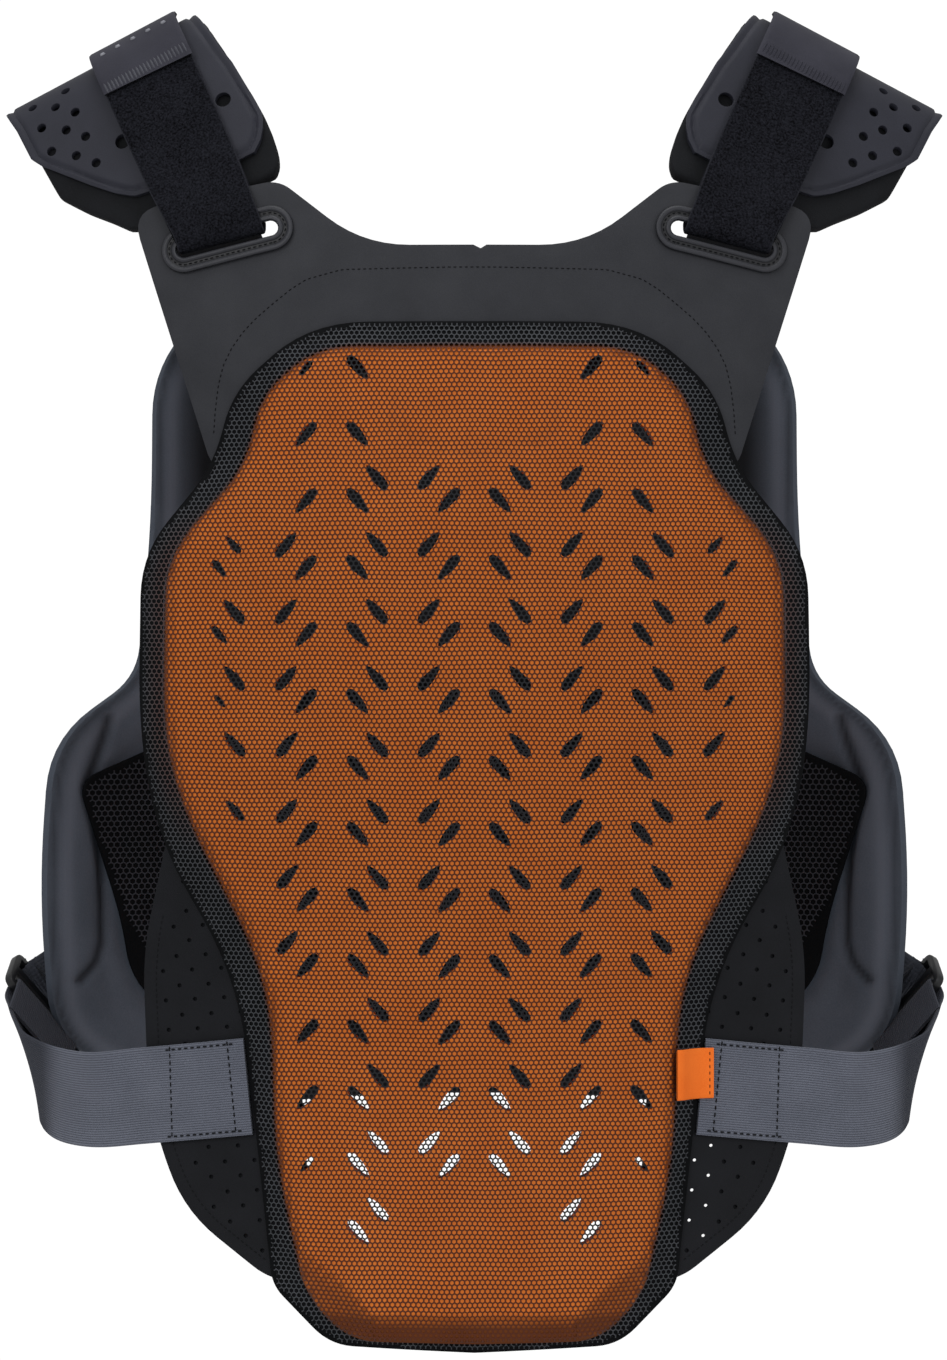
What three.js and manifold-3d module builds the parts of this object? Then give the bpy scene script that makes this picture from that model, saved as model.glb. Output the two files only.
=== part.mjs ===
// Motorcycle protective vest in its worn form, hanging as if on a torso.
// Millimetres. +X is the wearer's right, +Y the wearer's front, +Z is up.
// The origin lies midway between the two shoulder seats.
import * as THREE from 'three';
import { mergeVertices } from 'three/addons/utils/BufferGeometryUtils.js';
import Module from 'manifold-3d';

const wasm = await Module();
wasm.setup();

// Layers, counted outwards from the body
const GAP = 0.4;
const SHEET = 2;
const BORDER = { low: SHEET + GAP, high: 3.9, wallHigh: 14.5, wall: 1.6 };
const INSERT = { low: SHEET + GAP, high: 16.4 };
const STRAP = { width: 50, thick: 1.6 };
const PANEL_THICK = 7;
const LINING_THICK = 2;
const GUARD_THICK = 4;
const PAD_THICK = 10;

// The back leans in at the neck, bulges at the shoulder blades and hollows at the loins
const BACK = { depth: 114, swing: 14, crest: -260, period: 520, lean: 0.0013, leanFrom: -140 };
const BACK_RADIUS = { chest: 330, shoulder: 560, from: -220, to: -80 };
// The front is an ellipse in plan that widens at the waist and leans in at the collar bones
const FRONT = { depth: 122, leanFrom: -240, leanUp: 0.0009, leanDown: 0.00012 };
const FRONT_HALF = { chest: 218, waist: 246, from: -420, to: -250 };
const FRONT_SWEEP = THREE.MathUtils.degToRad(76);
const FRONT_COLUMNS = 14;

// Grid of the curved slabs, shared so that stacked layers stay parallel
const CELL = { x: 42, z: 52 };
const REACH = 300;
// A corner's rounding takes up at most this share of each edge beside it
const MOST_ROUND = 0.48;

// Shoulder saddle: a ridge that falls outwards, with an arch across it and two straight legs
const RIDGE = { x: 244.6, y: -12, z: -17.8, slope: THREE.MathUtils.degToRad(27.9) };
const ARCH_RADIUS = 40;
const LEG_BACK = THREE.MathUtils.degToRad(66);
const LEG_FRONT = THREE.MathUtils.degToRad(60.8);
const CAP_CREASE = 62;
const CAP_NARROW = 0.0035;

// Slot in each yoke tab, with its raised rim
const SLOT = { x: 127.4, z: -92.8, length: 54, width: 8, tilt: THREE.MathUtils.degToRad(13.5) };
const RIM = { band: 8, low: SHEET + GAP, high: 4 };

// Half outlines, from the top of the middle line round to its foot
const YOKE_CORNERS = [
  { x: 0, z: -97, round: 0 },
  { x: 57, z: -97, round: 24 },
  { x: 101, z: -62, round: 8 },
  { x: 178, z: -77, round: 16 },
  { x: 137, z: -204, round: 0 },
  { x: 128, z: -222, round: 8 },
  { x: 98, z: -200, round: 20 },
  { x: 84, z: -164, round: 16 },
  { x: 0, z: -162, round: 0 },
];
const POCKET_CORNERS = [
  { x: 0, z: -137, round: 0 },
  { x: 84, z: -137, round: 30 },
  { x: 124, z: -172, round: 18 },
  { x: 134, z: -210, round: 18 },
  { x: 172, z: -255, round: 22 },
  { x: 174, z: -350, round: 40 },
  { x: 162, z: -407, round: 30 },
  { x: 122, z: -475, round: 40 },
  { x: 104, z: -631, round: 8 },
  { x: 74, z: -660, round: 12 },
  { x: 0, z: -663, round: 0 },
];
const INSERT_CORNERS = [
  { x: 0, z: -149, round: 0 },
  { x: 80, z: -149, round: 22 },
  { x: 110, z: -174, round: 18 },
  { x: 117, z: -210, round: 18 },
  { x: 159, z: -256, round: 22 },
  { x: 161, z: -346, round: 30 },
  { x: 151, z: -387, round: 25 },
  { x: 106, z: -475, round: 35 },
  { x: 103, z: -566, round: 30 },
  { x: 87, z: -635, round: 18 },
  { x: 65, z: -657, round: 14 },
  { x: 0, z: -658, round: 0 },
];
const PANEL_CORNERS = [
  { x: 0, z: -150, round: 0 },
  { x: 58, z: -150, round: 34 },
  { x: 84, z: -97, round: 12 },
  { x: 140, z: -104, round: 16 },
  { x: 177, z: -150, round: 25 },
  { x: 178, z: -240, round: 40 },
  { x: 186, z: -318, round: 16 },
  { x: 231, z: -352, round: 28 },
  { x: 237, z: -430, round: 40 },
  { x: 226, z: -503, round: 30 },
  { x: 165, z: -558, round: 40 },
  { x: 60, z: -549, round: 40 },
  { x: 0, z: -549, round: 0 },
];
const LINING_CORNERS = [
  { x: 0, z: -320, round: 0 },
  { x: 100, z: -322, round: 30 },
  { x: 217, z: -375, round: 16 },
  { x: 186, z: -470, round: 30 },
  { x: 150, z: -510, round: 20 },
  { x: 0, z: -510, round: 0 },
];
const WING_CORNERS = [
  { x: 138, z: -398, round: 0 },
  { x: 159, z: -400, round: 6 },
  { x: 173, z: -462, round: 22 },
  { x: 170, z: -545, round: 35 },
  { x: 151, z: -595, round: 22 },
  { x: 106, z: -628, round: 10 },
  { x: 82, z: -630, round: 6 },
  { x: 92, z: -490, round: 25 },
  { x: 126, z: -430, round: 15 },
];

// Sections of the shoulder pieces: a distance across the ridge, back positive, and the
// outer and inner edge measured along the ridge
const GUARD_SECTIONS = [
  { at: 114, from: 90, to: 102 },
  { at: 109, from: 62, to: 108 },
  { at: 103, from: 36, to: 112 },
  { at: 96, from: 28, to: 115 },
  { at: 84, from: 18, to: 115 },
  { at: 60, from: 0, to: 114 },
  { at: 54, from: -3, to: 113 },
  { at: 46, from: -3, to: 112 },
  { at: 34, from: -3, to: 111 },
  { at: 22, from: -4, to: 110 },
  { at: 11, from: -4.5, to: 109 },
  { at: 0, from: -4.5, to: 109 },
  { at: -11, from: -4.5, to: 109 },
  { at: -24, from: -3, to: 108 },
  { at: -36, from: -2, to: 108 },
  { at: -48, from: -2, to: 107 },
  { at: -60, from: 7, to: 106 },
  { at: -80, from: 26, to: 103 },
  { at: -90, from: 50, to: 96 },
];
const PAD_SECTIONS = [
  { at: 130, from: 86, to: 105 },
  { at: 126, from: 54, to: 110 },
  { at: 119, from: 26, to: 113 },
  { at: 107, from: 18, to: 115 },
  { at: 95, from: 9, to: 116 },
  { at: 80, from: 0, to: 116 },
  { at: 46, from: -1, to: 114 },
  { at: 34, from: -1, to: 113 },
  { at: 22, from: -1, to: 112 },
  { at: 11, from: -1, to: 112 },
  { at: 0, from: -1, to: 112 },
  { at: -11, from: -1, to: 111 },
  { at: -22, from: -1, to: 111 },
  { at: -32, from: -1, to: 110 },
  { at: -42, from: -1, to: 110 },
  { at: -66, from: 0, to: 109 },
  { at: -90, from: 16, to: 100 },
  { at: -120, from: 34, to: 90 },
  { at: -190, from: 42, to: 82 },
];
const SHEET_COLUMNS = 5;

// Round perforations of the shoulder guard, a staggered lattice on its outer end
const PERFORATION = { radius: 2.8, sides: 5, columns: 3, rows: 4, first: 15, pitch: 16.2 };
const PERFORATION_U = { first: 9, pitch: 9.7 };

// Vents of the insert: leaf slots in two families of columns, half a step apart.
// turn is 1 where the foot of the leaf leans outwards, tip is 1 where its point is up
const VENT = { tilt: THREE.MathUtils.degToRad(41), step: 33.9 };
const LEAF = { tip: 7.8, shoulder: -3.6, heel: -8.2, half: 3 };
const VENT_COLUMNS = [
  { x: 13.3, z: -161.6, first: 2, last: 9, turn: 1, tip: -1 },
  { x: 59, z: -161.6, first: 0, last: 13, turn: -1, tip: -1 },
  { x: 86, z: -161.6, first: 1, last: 11, turn: 1, tip: -1 },
  { x: 22.7, z: -217, first: 0, last: 8, turn: 1, tip: 1 },
  { x: 49.8, z: -217, first: 0, last: 11, turn: -1, tip: 1 },
  { x: 95.5, z: -217, first: 1, last: 6, turn: 1, tip: 1 },
];

// Shoulder strap: its place along the ridge at the top, and the ends of its two legs
const SHOULDER_STRAP = { top: 74.5, lean: -0.032, drift: 3, driftFrom: 40, driftTo: 110 };
const STRAP_TURN = { from: 60, to: 122 };
const INNER_LEG = [11, 22, 34, 46, 60, 84, 103, 113];
const LEG_FOOT = { at: 118, lift: -1.6 };
// Through the slot: down across it, and out from the inner face of the yoke
const SLOT_PATH = [
  { down: -6, out: -4.6 },
  { down: -1.2, out: -2.6 },
  { down: 1, out: -0.4 },
  { down: 1.4, out: 1.6 },
  { down: 0.8, out: 3.6 },
  { down: -1.4, out: 5.4 },
  { down: -4.5, out: 5.8 },
  { down: -12.5, out: 5.8 },
  { down: -21.5, out: 4.2 },
];
const OUTER_LEG = [96, 84, 60, 46, 34, 22, 11];
const END_TAB = { thick: 1.6, from: -7, to: 47, width: 51, steps: 7 };

// Waist strap: free stations past the wing, each with the way its width points
const WAIST = { z: -530, fall: 0.12, sewnFrom: 117.4, sewnTo: 172, sewnSteps: 4, edgeLean: 0.12 };
const WAIST_STATIONS = [
  { x: 200, y: -46, z: -540, wx: 0.1, wy: 0, wz: 1 },
  { x: 219, y: -30, z: -537, wx: 0.2, wy: 0, wz: 1 },
  { x: 232, y: -9, z: -531, wx: 0.32, wy: -0.04, wz: 0.95 },
  { x: 238, y: 13, z: -522, wx: 0.44, wy: -0.14, wz: 0.88 },
];

// Buckle: a frame with two slots, turned so that the elastic runs up and forwards into it
const BUCKLE_PLACE = new THREE.Vector3(233.5, 58.5, -497);
const BUCKLE = { length: 60, depth: 27, thick: 4.5, bar: 4, slot: 7, end: 4, round: 6 };
const BUCKLE_RUN = new THREE.Vector3(-0.11, 0.86, 0.49).normalize();
const BUCKLE_UP = new THREE.Vector3(0.6, -0.35, 0.72);
// The elastic reaches the buckle this far before its edge, and its loose end goes back this far
const LEAD_IN = 14;
const TURN_BACK = 24;
// A strap's loop round an end bar: how far out it starts, where it bends and how round it is
const BAR_LOOP = { lead: 8, bend: 2, ease: 0.4, round: 1.8 };

// Webbing: its way over the chest panel, in degrees round the torso
const WEBBING_WIDTH = 44;
const WEBBING_PATH = [
  { angle: 63, z: -478 },
  { angle: 57, z: -470 },
  { angle: 49, z: -460 },
];

const TAG = { z: -523, height: 26, thick: 1.2 };
const TAG_STATIONS = [
  { x: 123.5, lift: 6.8 },
  { x: 116.5, lift: 7 },
  { x: 111, lift: 11 },
  { x: 107, lift: 16.6 },
  { x: 104, lift: 18 },
];

const LOOKS = {
  yoke: { color: 0x3d3e42, roughness: 0.62, metalness: 0 },
  rim: { color: 0x2b2d33, roughness: 0.5, metalness: 0 },
  insert: { color: 0xb4581a, roughness: 0.7, metalness: 0 },
  border: { color: 0x17181a, roughness: 0.85, metalness: 0 },
  wing: { color: 0x22252a, roughness: 0.6, metalness: 0 },
  elastic: { color: 0x6b6d76, roughness: 0.85, metalness: 0 },
  plastic: { color: 0x1d2022, roughness: 0.4, metalness: 0 },
  guard: { color: 0x30323b, roughness: 0.55, metalness: 0 },
  pad: { color: 0x18191b, roughness: 0.9, metalness: 0 },
  loop: { color: 0x141517, roughness: 0.95, metalness: 0 },
  panel: { color: 0x4a4d55, roughness: 0.6, metalness: 0 },
  lining: { color: 0x131416, roughness: 0.9, metalness: 0 },
  tag: { color: 0xe8641e, roughness: 0.7, metalness: 0 },
};

// Solids and geometries

function solidOf(geometry) {
  const bare = geometry.clone();
  bare.deleteAttribute('normal');
  bare.deleteAttribute('uv');
  const merged = mergeVertices(bare, 1e-4);
  return new wasm.Manifold(new wasm.Mesh({
    numProp: 3,
    vertProperties: new Float32Array(merged.attributes.position.array),
    triVerts: new Uint32Array(merged.index.array),
  }));
}

function geometryOf(solid) {
  const mesh = solid.getMesh();
  const geometry = new THREE.BufferGeometry();
  geometry.setAttribute('position', new THREE.BufferAttribute(mesh.vertProperties, 3));
  geometry.setIndex(new THREE.BufferAttribute(mesh.triVerts, 1));
  geometry.computeVertexNormals();
  return geometry;
}

// A closed geometry from points and triangles, turned so that its faces point out
function closedGeometry(points, triangles) {
  let volume = 0;
  for (const [a, b, c] of triangles) {
    volume += points[a].dot(points[b].clone().cross(points[c]));
  }
  const facing = volume > 0 ? triangles : triangles.map(([a, b, c]) => [a, c, b]);
  const geometry = new THREE.BufferGeometry().setFromPoints(points);
  geometry.setIndex(facing.flat());
  return geometry;
}

// Outlines in the X-Z plane

function outline(corners, steps = 3) {
  const path = new THREE.Path();
  corners.forEach((corner, i) => {
    const here = new THREE.Vector2(corner.x, corner.z);
    const before = corners[(i + corners.length - 1) % corners.length];
    const after = corners[(i + 1) % corners.length];
    const towards = ({ x, z }) => {
      const way = new THREE.Vector2(x, z).sub(here);
      return way.setLength(Math.min(corner.round, MOST_ROUND * way.length())).add(here);
    };
    const start = towards(before);
    const end = towards(after);
    if (i === 0) path.moveTo(start.x, start.y);
    else path.lineTo(start.x, start.y);
    if (corner.round > 0) path.quadraticCurveTo(here.x, here.y, end.x, end.y);
  });
  return path.getPoints(steps);
}

function bothSides(corners) {
  const left = corners.slice(1, -1).reverse();
  return [...corners, ...left.map(({ x, z, round }) => ({ x: -x, z, round }))];
}

function grown(points, by) {
  const turn = THREE.ShapeUtils.isClockWise(points) ? -1 : 1;
  return points.map((point, i) => {
    const before = points[(i + points.length - 1) % points.length];
    const after = points[(i + 1) % points.length];
    const along = after.clone().sub(before).normalize();
    return new THREE.Vector2(along.y, -along.x).multiplyScalar(turn * by).add(point);
  });
}

function stadium(length, width, steps = 3) {
  const shape = new THREE.Shape();
  const straight = (length - width) / 2;
  shape.absarc(straight, 0, width / 2, -Math.PI / 2, Math.PI / 2);
  shape.absarc(-straight, 0, width / 2, Math.PI / 2, 1.5 * Math.PI);
  const middle = new THREE.Vector2();
  const points = shape.getPoints(steps);
  return points.map((p) => p.rotateAround(middle, -SLOT.tilt).add(new THREE.Vector2(SLOT.x, SLOT.z)));
}

// One or more outlines as prisms that run along Y through the whole vest
function prism(...outlines) {
  const shapes = outlines.map((points) => new THREE.Shape(points));
  const geometry = new THREE.ExtrudeGeometry(shapes, { depth: 2 * REACH, bevelEnabled: false });
  geometry.rotateX(Math.PI / 2);
  geometry.translate(0, REACH, 0);
  return solidOf(geometry);
}

// Curved forms

function backPoint(x, z, h) {
  const wave = BACK.swing * Math.cos(2 * Math.PI * (z - BACK.crest) / BACK.period);
  const lean = BACK.lean * Math.max(0, z - BACK.leanFrom) ** 2;
  const blend = THREE.MathUtils.smoothstep(z, BACK_RADIUS.from, BACK_RADIUS.to);
  const radius = THREE.MathUtils.lerp(BACK_RADIUS.chest, BACK_RADIUS.shoulder, blend);
  const y = x * x / (2 * radius) - (BACK.depth + wave - lean);
  return new THREE.Vector3(x, y - h, z);
}

// angle runs round the torso from the middle of the chest, h outwards from the inner face
function frontPoint(angle, z, h) {
  const up = Math.max(0, z - FRONT.leanFrom);
  const down = Math.max(0, FRONT.leanFrom - z);
  const depth = FRONT.depth - FRONT.leanUp * up * up - FRONT.leanDown * down * down;
  const blend = THREE.MathUtils.smoothstep(z, FRONT_HALF.from, FRONT_HALF.to);
  const half = THREE.MathUtils.lerp(FRONT_HALF.waist, FRONT_HALF.chest, blend);
  const normal = new THREE.Vector3(Math.sin(angle) / half, Math.cos(angle) / depth, 0).normalize();
  return new THREE.Vector3(half * Math.sin(angle), depth * Math.cos(angle), z).addScaledVector(normal, h);
}

// u along the ridge from its outer end, t across it with the back positive, h outwards
const ALONG_RIDGE = new THREE.Vector3(-Math.cos(RIDGE.slope), 0, Math.sin(RIDGE.slope));
const DOWN_RIDGE = new THREE.Vector3(-Math.sin(RIDGE.slope), 0, -Math.cos(RIDGE.slope));

function shoulderPoint(u, t, h) {
  const leg = t > 0 ? LEG_BACK : LEG_FRONT;
  const bend = Math.min(Math.abs(t) / ARCH_RADIUS, leg);
  const straight = Math.abs(t) - ARCH_RADIUS * bend;
  const narrow = 1 - CAP_NARROW * Math.max(0, CAP_CREASE - u);
  const reach = ((ARCH_RADIUS + h) * Math.sin(bend) + straight * Math.cos(leg)) * narrow;
  const drop = ARCH_RADIUS - (ARCH_RADIUS + h) * Math.cos(bend) + straight * Math.sin(leg);
  return new THREE.Vector3(RIDGE.x, RIDGE.y - Math.sign(t) * reach, RIDGE.z)
    .addScaledVector(ALONG_RIDGE, u)
    .addScaledVector(DOWN_RIDGE, drop);
}

// A closed sheet through sections, between two heights above a curved form
function sheet(sections, columns, form, low, high) {
  const points = [];
  const triangles = [];
  const across = columns + 1;
  const layer = across * sections.length;
  for (const h of [low, high]) {
    for (const { at, from, to } of sections) {
      for (let i = 0; i < across; i++) points.push(form(from + (to - from) * i / columns, at, h));
    }
  }
  const quad = (a, b, c, d) => triangles.push([a, b, c], [a, c, d]);
  for (let j = 0; j + 1 < sections.length; j++) {
    const first = j * across;
    const last = first + columns;
    for (let i = 0; i < columns; i++) {
      const a = first + i;
      triangles.push([a, a + across, a + across + 1], [a, a + across + 1, a + 1]);
      const b = a + layer;
      triangles.push([b, b + across + 1, b + across], [b, b + 1, b + across + 1]);
    }
    quad(first, first + layer, first + layer + across, first + across);
    quad(last, last + across, last + across + layer, last + layer);
  }
  const end = (sections.length - 1) * across;
  for (let i = 0; i < columns; i++) {
    quad(i, i + 1, i + 1 + layer, i + layer);
    quad(end + i, end + i + layer, end + i + 1 + layer, end + i + 1);
  }
  return closedGeometry(points, triangles);
}

function slab(form, low, high, from, to, step, bottom, top) {
  const first = Math.floor(bottom / CELL.z);
  const count = Math.ceil(top / CELL.z) - first;
  const sections = Array.from({ length: count + 1 }, (_, k) => ({ at: (first + k) * CELL.z, from, to }));
  return solidOf(sheet(sections, Math.round((to - from) / step), form, low, high));
}

// Part of the back between two heights, cut to an outline
function backLayer(points, low, high) {
  const xs = points.map((p) => p.x);
  const zs = points.map((p) => p.y);
  const from = CELL.x * Math.floor(Math.min(...xs) / CELL.x);
  const to = CELL.x * Math.ceil(Math.max(...xs) / CELL.x);
  const layer = slab(backPoint, low, high, from, to, CELL.x, Math.min(...zs), Math.max(...zs));
  return layer.intersect(prism(points));
}

function frontLayer(points, low, high, columns) {
  const zs = points.map((p) => p.y);
  const step = 2 * FRONT_SWEEP / columns;
  const range = [Math.min(...zs), Math.max(...zs)];
  const layer = slab(frontPoint, low, high, -FRONT_SWEEP, FRONT_SWEEP, step, ...range);
  return layer.intersect(prism(points));
}

// A flat strap through stations, each a point and the way that the width points there
function ribbon(stations, width, thick) {
  const points = [];
  const triangles = [];
  stations.forEach(({ point, across }, i) => {
    const before = stations[Math.max(i - 1, 0)].point;
    const after = stations[Math.min(i + 1, stations.length - 1)].point;
    const along = after.clone().sub(before).normalize();
    const normal = along.cross(across).normalize();
    for (const [w, n] of [[-1, -1], [1, -1], [1, 1], [-1, 1]]) {
      const corner = point.clone().addScaledVector(across, w * width / 2);
      points.push(corner.addScaledVector(normal, n * thick / 2));
    }
  });
  const quad = (a, b, c, d) => triangles.push([a, b, c], [a, c, d]);
  const end = 4 * (stations.length - 1);
  quad(0, 3, 2, 1);
  quad(end, end + 1, end + 2, end + 3);
  // Both broad faces are split along the same diagonal, so a twist keeps the thickness
  for (let k = 0; k < end; k += 4) {
    quad(k, k + 1, k + 5, k + 4);
    quad(k + 3, k + 7, k + 6, k + 2);
    quad(k + 1, k + 2, k + 6, k + 5);
    quad(k + 3, k, k + 4, k + 7);
  }
  return closedGeometry(points, triangles);
}

// Back pieces

const rimOpening = stadium(SLOT.length, SLOT.width);
const rimOutline = stadium(SLOT.length + 2 * RIM.band, SLOT.width + 2 * RIM.band);
const mirrored = (points) => points.map((p) => new THREE.Vector2(-p.x, p.y)).reverse();

function makeYoke() {
  const yoke = backLayer(outline(bothSides(YOKE_CORNERS)), 0, SHEET);
  return geometryOf(yoke.subtract(prism(rimOpening, mirrored(rimOpening))));
}

function makeSlotRim() {
  return geometryOf(backLayer(rimOutline, RIM.low, RIM.high).subtract(prism(rimOpening)));
}

// A leaf slot: a short heel, a broad shoulder and a long point
function leaf(x, z, turn, tip) {
  const profile = [
    new THREE.Vector2(0, LEAF.tip),
    new THREE.Vector2(-LEAF.half, LEAF.shoulder),
    new THREE.Vector2(0, LEAF.heel),
    new THREE.Vector2(LEAF.half, LEAF.shoulder),
  ];
  const middle = new THREE.Vector2();
  const place = new THREE.Vector2(x, z);
  return profile.map((p) => p.multiplyScalar(tip).rotateAround(middle, turn * VENT.tilt).add(place));
}

function ventOutlines() {
  const vents = [];
  for (const { x, z, first, last, turn, tip } of VENT_COLUMNS) {
    for (let row = first; row <= last; row++) {
      vents.push(leaf(x, z - VENT.step * row, turn, tip));
      vents.push(leaf(-x, z - VENT.step * row, -turn, tip));
    }
  }
  return vents;
}

const insertOutline = outline(bothSides(INSERT_CORNERS), 2);

function makeInsert() {
  const insert = backLayer(insertOutline, INSERT.low, INSERT.high);
  return geometryOf(insert.subtract(prism(...ventOutlines())));
}

// A flat hem all round, with a wall that stands up against the insert's side
function makeBorder() {
  const hem = backLayer(outline(bothSides(POCKET_CORNERS), 2), BORDER.low, BORDER.high);
  const wall = backLayer(grown(insertOutline, GAP + BORDER.wall), BORDER.low, BORDER.wallHigh);
  return geometryOf(hem.add(wall).subtract(prism(grown(insertOutline, GAP))));
}

function makeWing() {
  return geometryOf(backLayer(outline(WING_CORNERS), 0, SHEET));
}

function makeTag() {
  const across = new THREE.Vector3(0, 0, 1);
  const stations = TAG_STATIONS.map(({ x, lift }) => ({ point: backPoint(x, TAG.z, lift), across }));
  return ribbon(stations, TAG.height, TAG.thick);
}

// Front pieces

function makePanel() {
  return geometryOf(frontLayer(outline(bothSides(PANEL_CORNERS)), 0, PANEL_THICK, FRONT_COLUMNS));
}

function makeLining() {
  const points = outline(bothSides(LINING_CORNERS));
  return geometryOf(frontLayer(points, -GAP - LINING_THICK, -GAP, FRONT_COLUMNS));
}

// Shoulder pieces, for the wearer's right

function makeGuard() {
  let guard = solidOf(sheet(GUARD_SECTIONS, SHEET_COLUMNS, shoulderPoint, -GUARD_THICK, 0));
  for (let column = 0; column < PERFORATION.columns; column++) {
    for (let row = 0; row < PERFORATION.rows; row++) {
      const u = PERFORATION_U.first + PERFORATION_U.pitch * column;
      const t = PERFORATION.first + PERFORATION.pitch * (row + (column % 2 ? 0 : 0.5));
      const outside = shoulderPoint(u, t, GUARD_THICK);
      const inside = shoulderPoint(u, t, -2 * GUARD_THICK);
      if (column === 0 && row === PERFORATION.rows - 1) continue;
      const way = outside.clone().sub(inside);
      const { radius, sides } = PERFORATION;
      const hole = new THREE.CylinderGeometry(radius, radius, way.length(), sides);
      const up = new THREE.Vector3(0, 1, 0);
      hole.applyQuaternion(new THREE.Quaternion().setFromUnitVectors(up, way.clone().normalize()));
      const middle = outside.add(inside).multiplyScalar(0.5);
      hole.translate(middle.x, middle.y, middle.z);
      guard = guard.subtract(solidOf(hole));
    }
  }
  return geometryOf(guard);
}

function makeShoulderPad() {
  const high = -GUARD_THICK - 2 * GAP;
  return sheet(PAD_SECTIONS, SHEET_COLUMNS, shoulderPoint, high - PAD_THICK, high);
}

const strapMiddle = (t) => {
  const { top, lean, drift, driftFrom, driftTo } = SHOULDER_STRAP;
  return top + lean * t - drift * THREE.MathUtils.smoothstep(t, driftFrom, driftTo);
};

// A place beside the slot: down across it, and out from the sheet's inner face
function slotFrame() {
  const at = backPoint(SLOT.x, SLOT.z, 0);
  const inwards = new THREE.Vector2(-Math.cos(SLOT.tilt), Math.sin(SLOT.tilt));
  const downwards = new THREE.Vector2(-Math.sin(SLOT.tilt), -Math.cos(SLOT.tilt));
  const tangent = (way) => backPoint(SLOT.x + way.x, SLOT.z + way.y, 0).sub(at).normalize();
  const along = tangent(inwards);
  const down = tangent(downwards);
  const out = along.clone().cross(down).normalize();
  if (out.y > 0) out.negate();
  const place = (d, n) => at.clone().addScaledVector(down, d).addScaledVector(out, n);
  return { along, place };
}

// The strap hangs from the guard, dives through the slot and comes up over itself
function makeShoulderStrap() {
  const { along, place } = slotFrame();
  const innerLift = 2 * GAP + STRAP.thick / 2;
  const outerLift = innerLift + STRAP.thick + GAP;
  const onGuard = (t, h) => {
    const blend = THREE.MathUtils.smoothstep(t, STRAP_TURN.from, STRAP_TURN.to);
    const across = ALONG_RIDGE.clone().lerp(along, blend).normalize();
    return { point: shoulderPoint(strapMiddle(t), t, h), across };
  };
  const stations = [
    ...INNER_LEG.map((t) => onGuard(t, innerLift)),
    onGuard(LEG_FOOT.at, LEG_FOOT.lift),
    ...SLOT_PATH.map(({ down, out }) => ({ point: place(down, out), across: along })),
    ...OUTER_LEG.map((t) => onGuard(t, outerLift)),
  ];
  return ribbon(stations, STRAP.width, STRAP.thick);
}

function makeEndTab() {
  const lift = 4.5 * GAP + 2 * STRAP.thick + END_TAB.thick / 2;
  const stations = Array.from({ length: END_TAB.steps + 1 }, (_, i) => {
    const t = END_TAB.from + (END_TAB.to - END_TAB.from) * i / END_TAB.steps;
    return { point: shoulderPoint(strapMiddle(t), t, lift), across: ALONG_RIDGE };
  });
  return ribbon(stations, END_TAB.width, END_TAB.thick);
}

// Waist pieces, for the wearer's right

const buckleOut = BUCKLE_RUN.clone().cross(BUCKLE_UP).normalize();
const buckleWide = buckleOut.clone().cross(BUCKLE_RUN);
const onBuckle = (run, out) => ({
  point: BUCKLE_PLACE.clone().addScaledVector(BUCKLE_RUN, run).addScaledVector(buckleOut, out),
  across: buckleWide,
});

const buckleLift = BUCKLE.thick / 2 + 2 * GAP + STRAP.thick / 2;

function makeBuckle() {
  const { length, depth, thick, bar, slot, end, round } = BUCKLE;
  const frame = new THREE.Shape();
  frame.moveTo(-length / 2 + round, -depth / 2);
  frame.lineTo(length / 2 - round, -depth / 2);
  frame.quadraticCurveTo(length / 2, -depth / 2, length / 2, -depth / 2 + round);
  frame.lineTo(length / 2, depth / 2 - round);
  frame.quadraticCurveTo(length / 2, depth / 2, length / 2 - round, depth / 2);
  frame.lineTo(-length / 2 + round, depth / 2);
  frame.quadraticCurveTo(-length / 2, depth / 2, -length / 2, depth / 2 - round);
  frame.lineTo(-length / 2, -depth / 2 + round);
  frame.quadraticCurveTo(-length / 2, -depth / 2, -length / 2 + round, -depth / 2);
  const centre = (depth - 2 * bar - slot) / 2;
  for (const middle of [-centre, centre]) {
    const hole = new THREE.Path();
    hole.moveTo(-length / 2 + end, middle - slot / 2);
    hole.lineTo(-length / 2 + end, middle + slot / 2);
    hole.lineTo(length / 2 - end, middle + slot / 2);
    hole.lineTo(length / 2 - end, middle - slot / 2);
    hole.closePath();
    frame.holes.push(hole);
  }
  const geometry = new THREE.ExtrudeGeometry(frame, { depth: thick, bevelEnabled: false, curveSegments: 4 });
  geometry.translate(0, 0, -thick / 2);
  const turn = new THREE.Matrix4().makeBasis(buckleWide, BUCKLE_RUN, buckleOut.clone().negate());
  turn.setPosition(BUCKLE_PLACE);
  return geometryOf(solidOf(geometry.applyMatrix4(turn)));
}

// The loop that a strap makes round an end bar of the buckle, sign -1 for the rear bar
function barLoop(sign) {
  const { lead, bend, ease, round } = BAR_LOOP;
  const edge = sign * (BUCKLE.depth / 2 - BUCKLE.bar);
  const inside = edge - sign * (GAP + STRAP.thick / 2 + ease);
  return [
    onBuckle(edge + sign * lead, buckleLift),
    onBuckle(edge + sign * bend, buckleLift),
    onBuckle(edge - sign * ease, buckleLift - ease),
    onBuckle(inside, buckleLift - round),
    onBuckle(inside, round - buckleLift),
    onBuckle(edge - sign * ease, ease - buckleLift),
    onBuckle(edge + sign * bend, -buckleLift),
  ];
}

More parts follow.
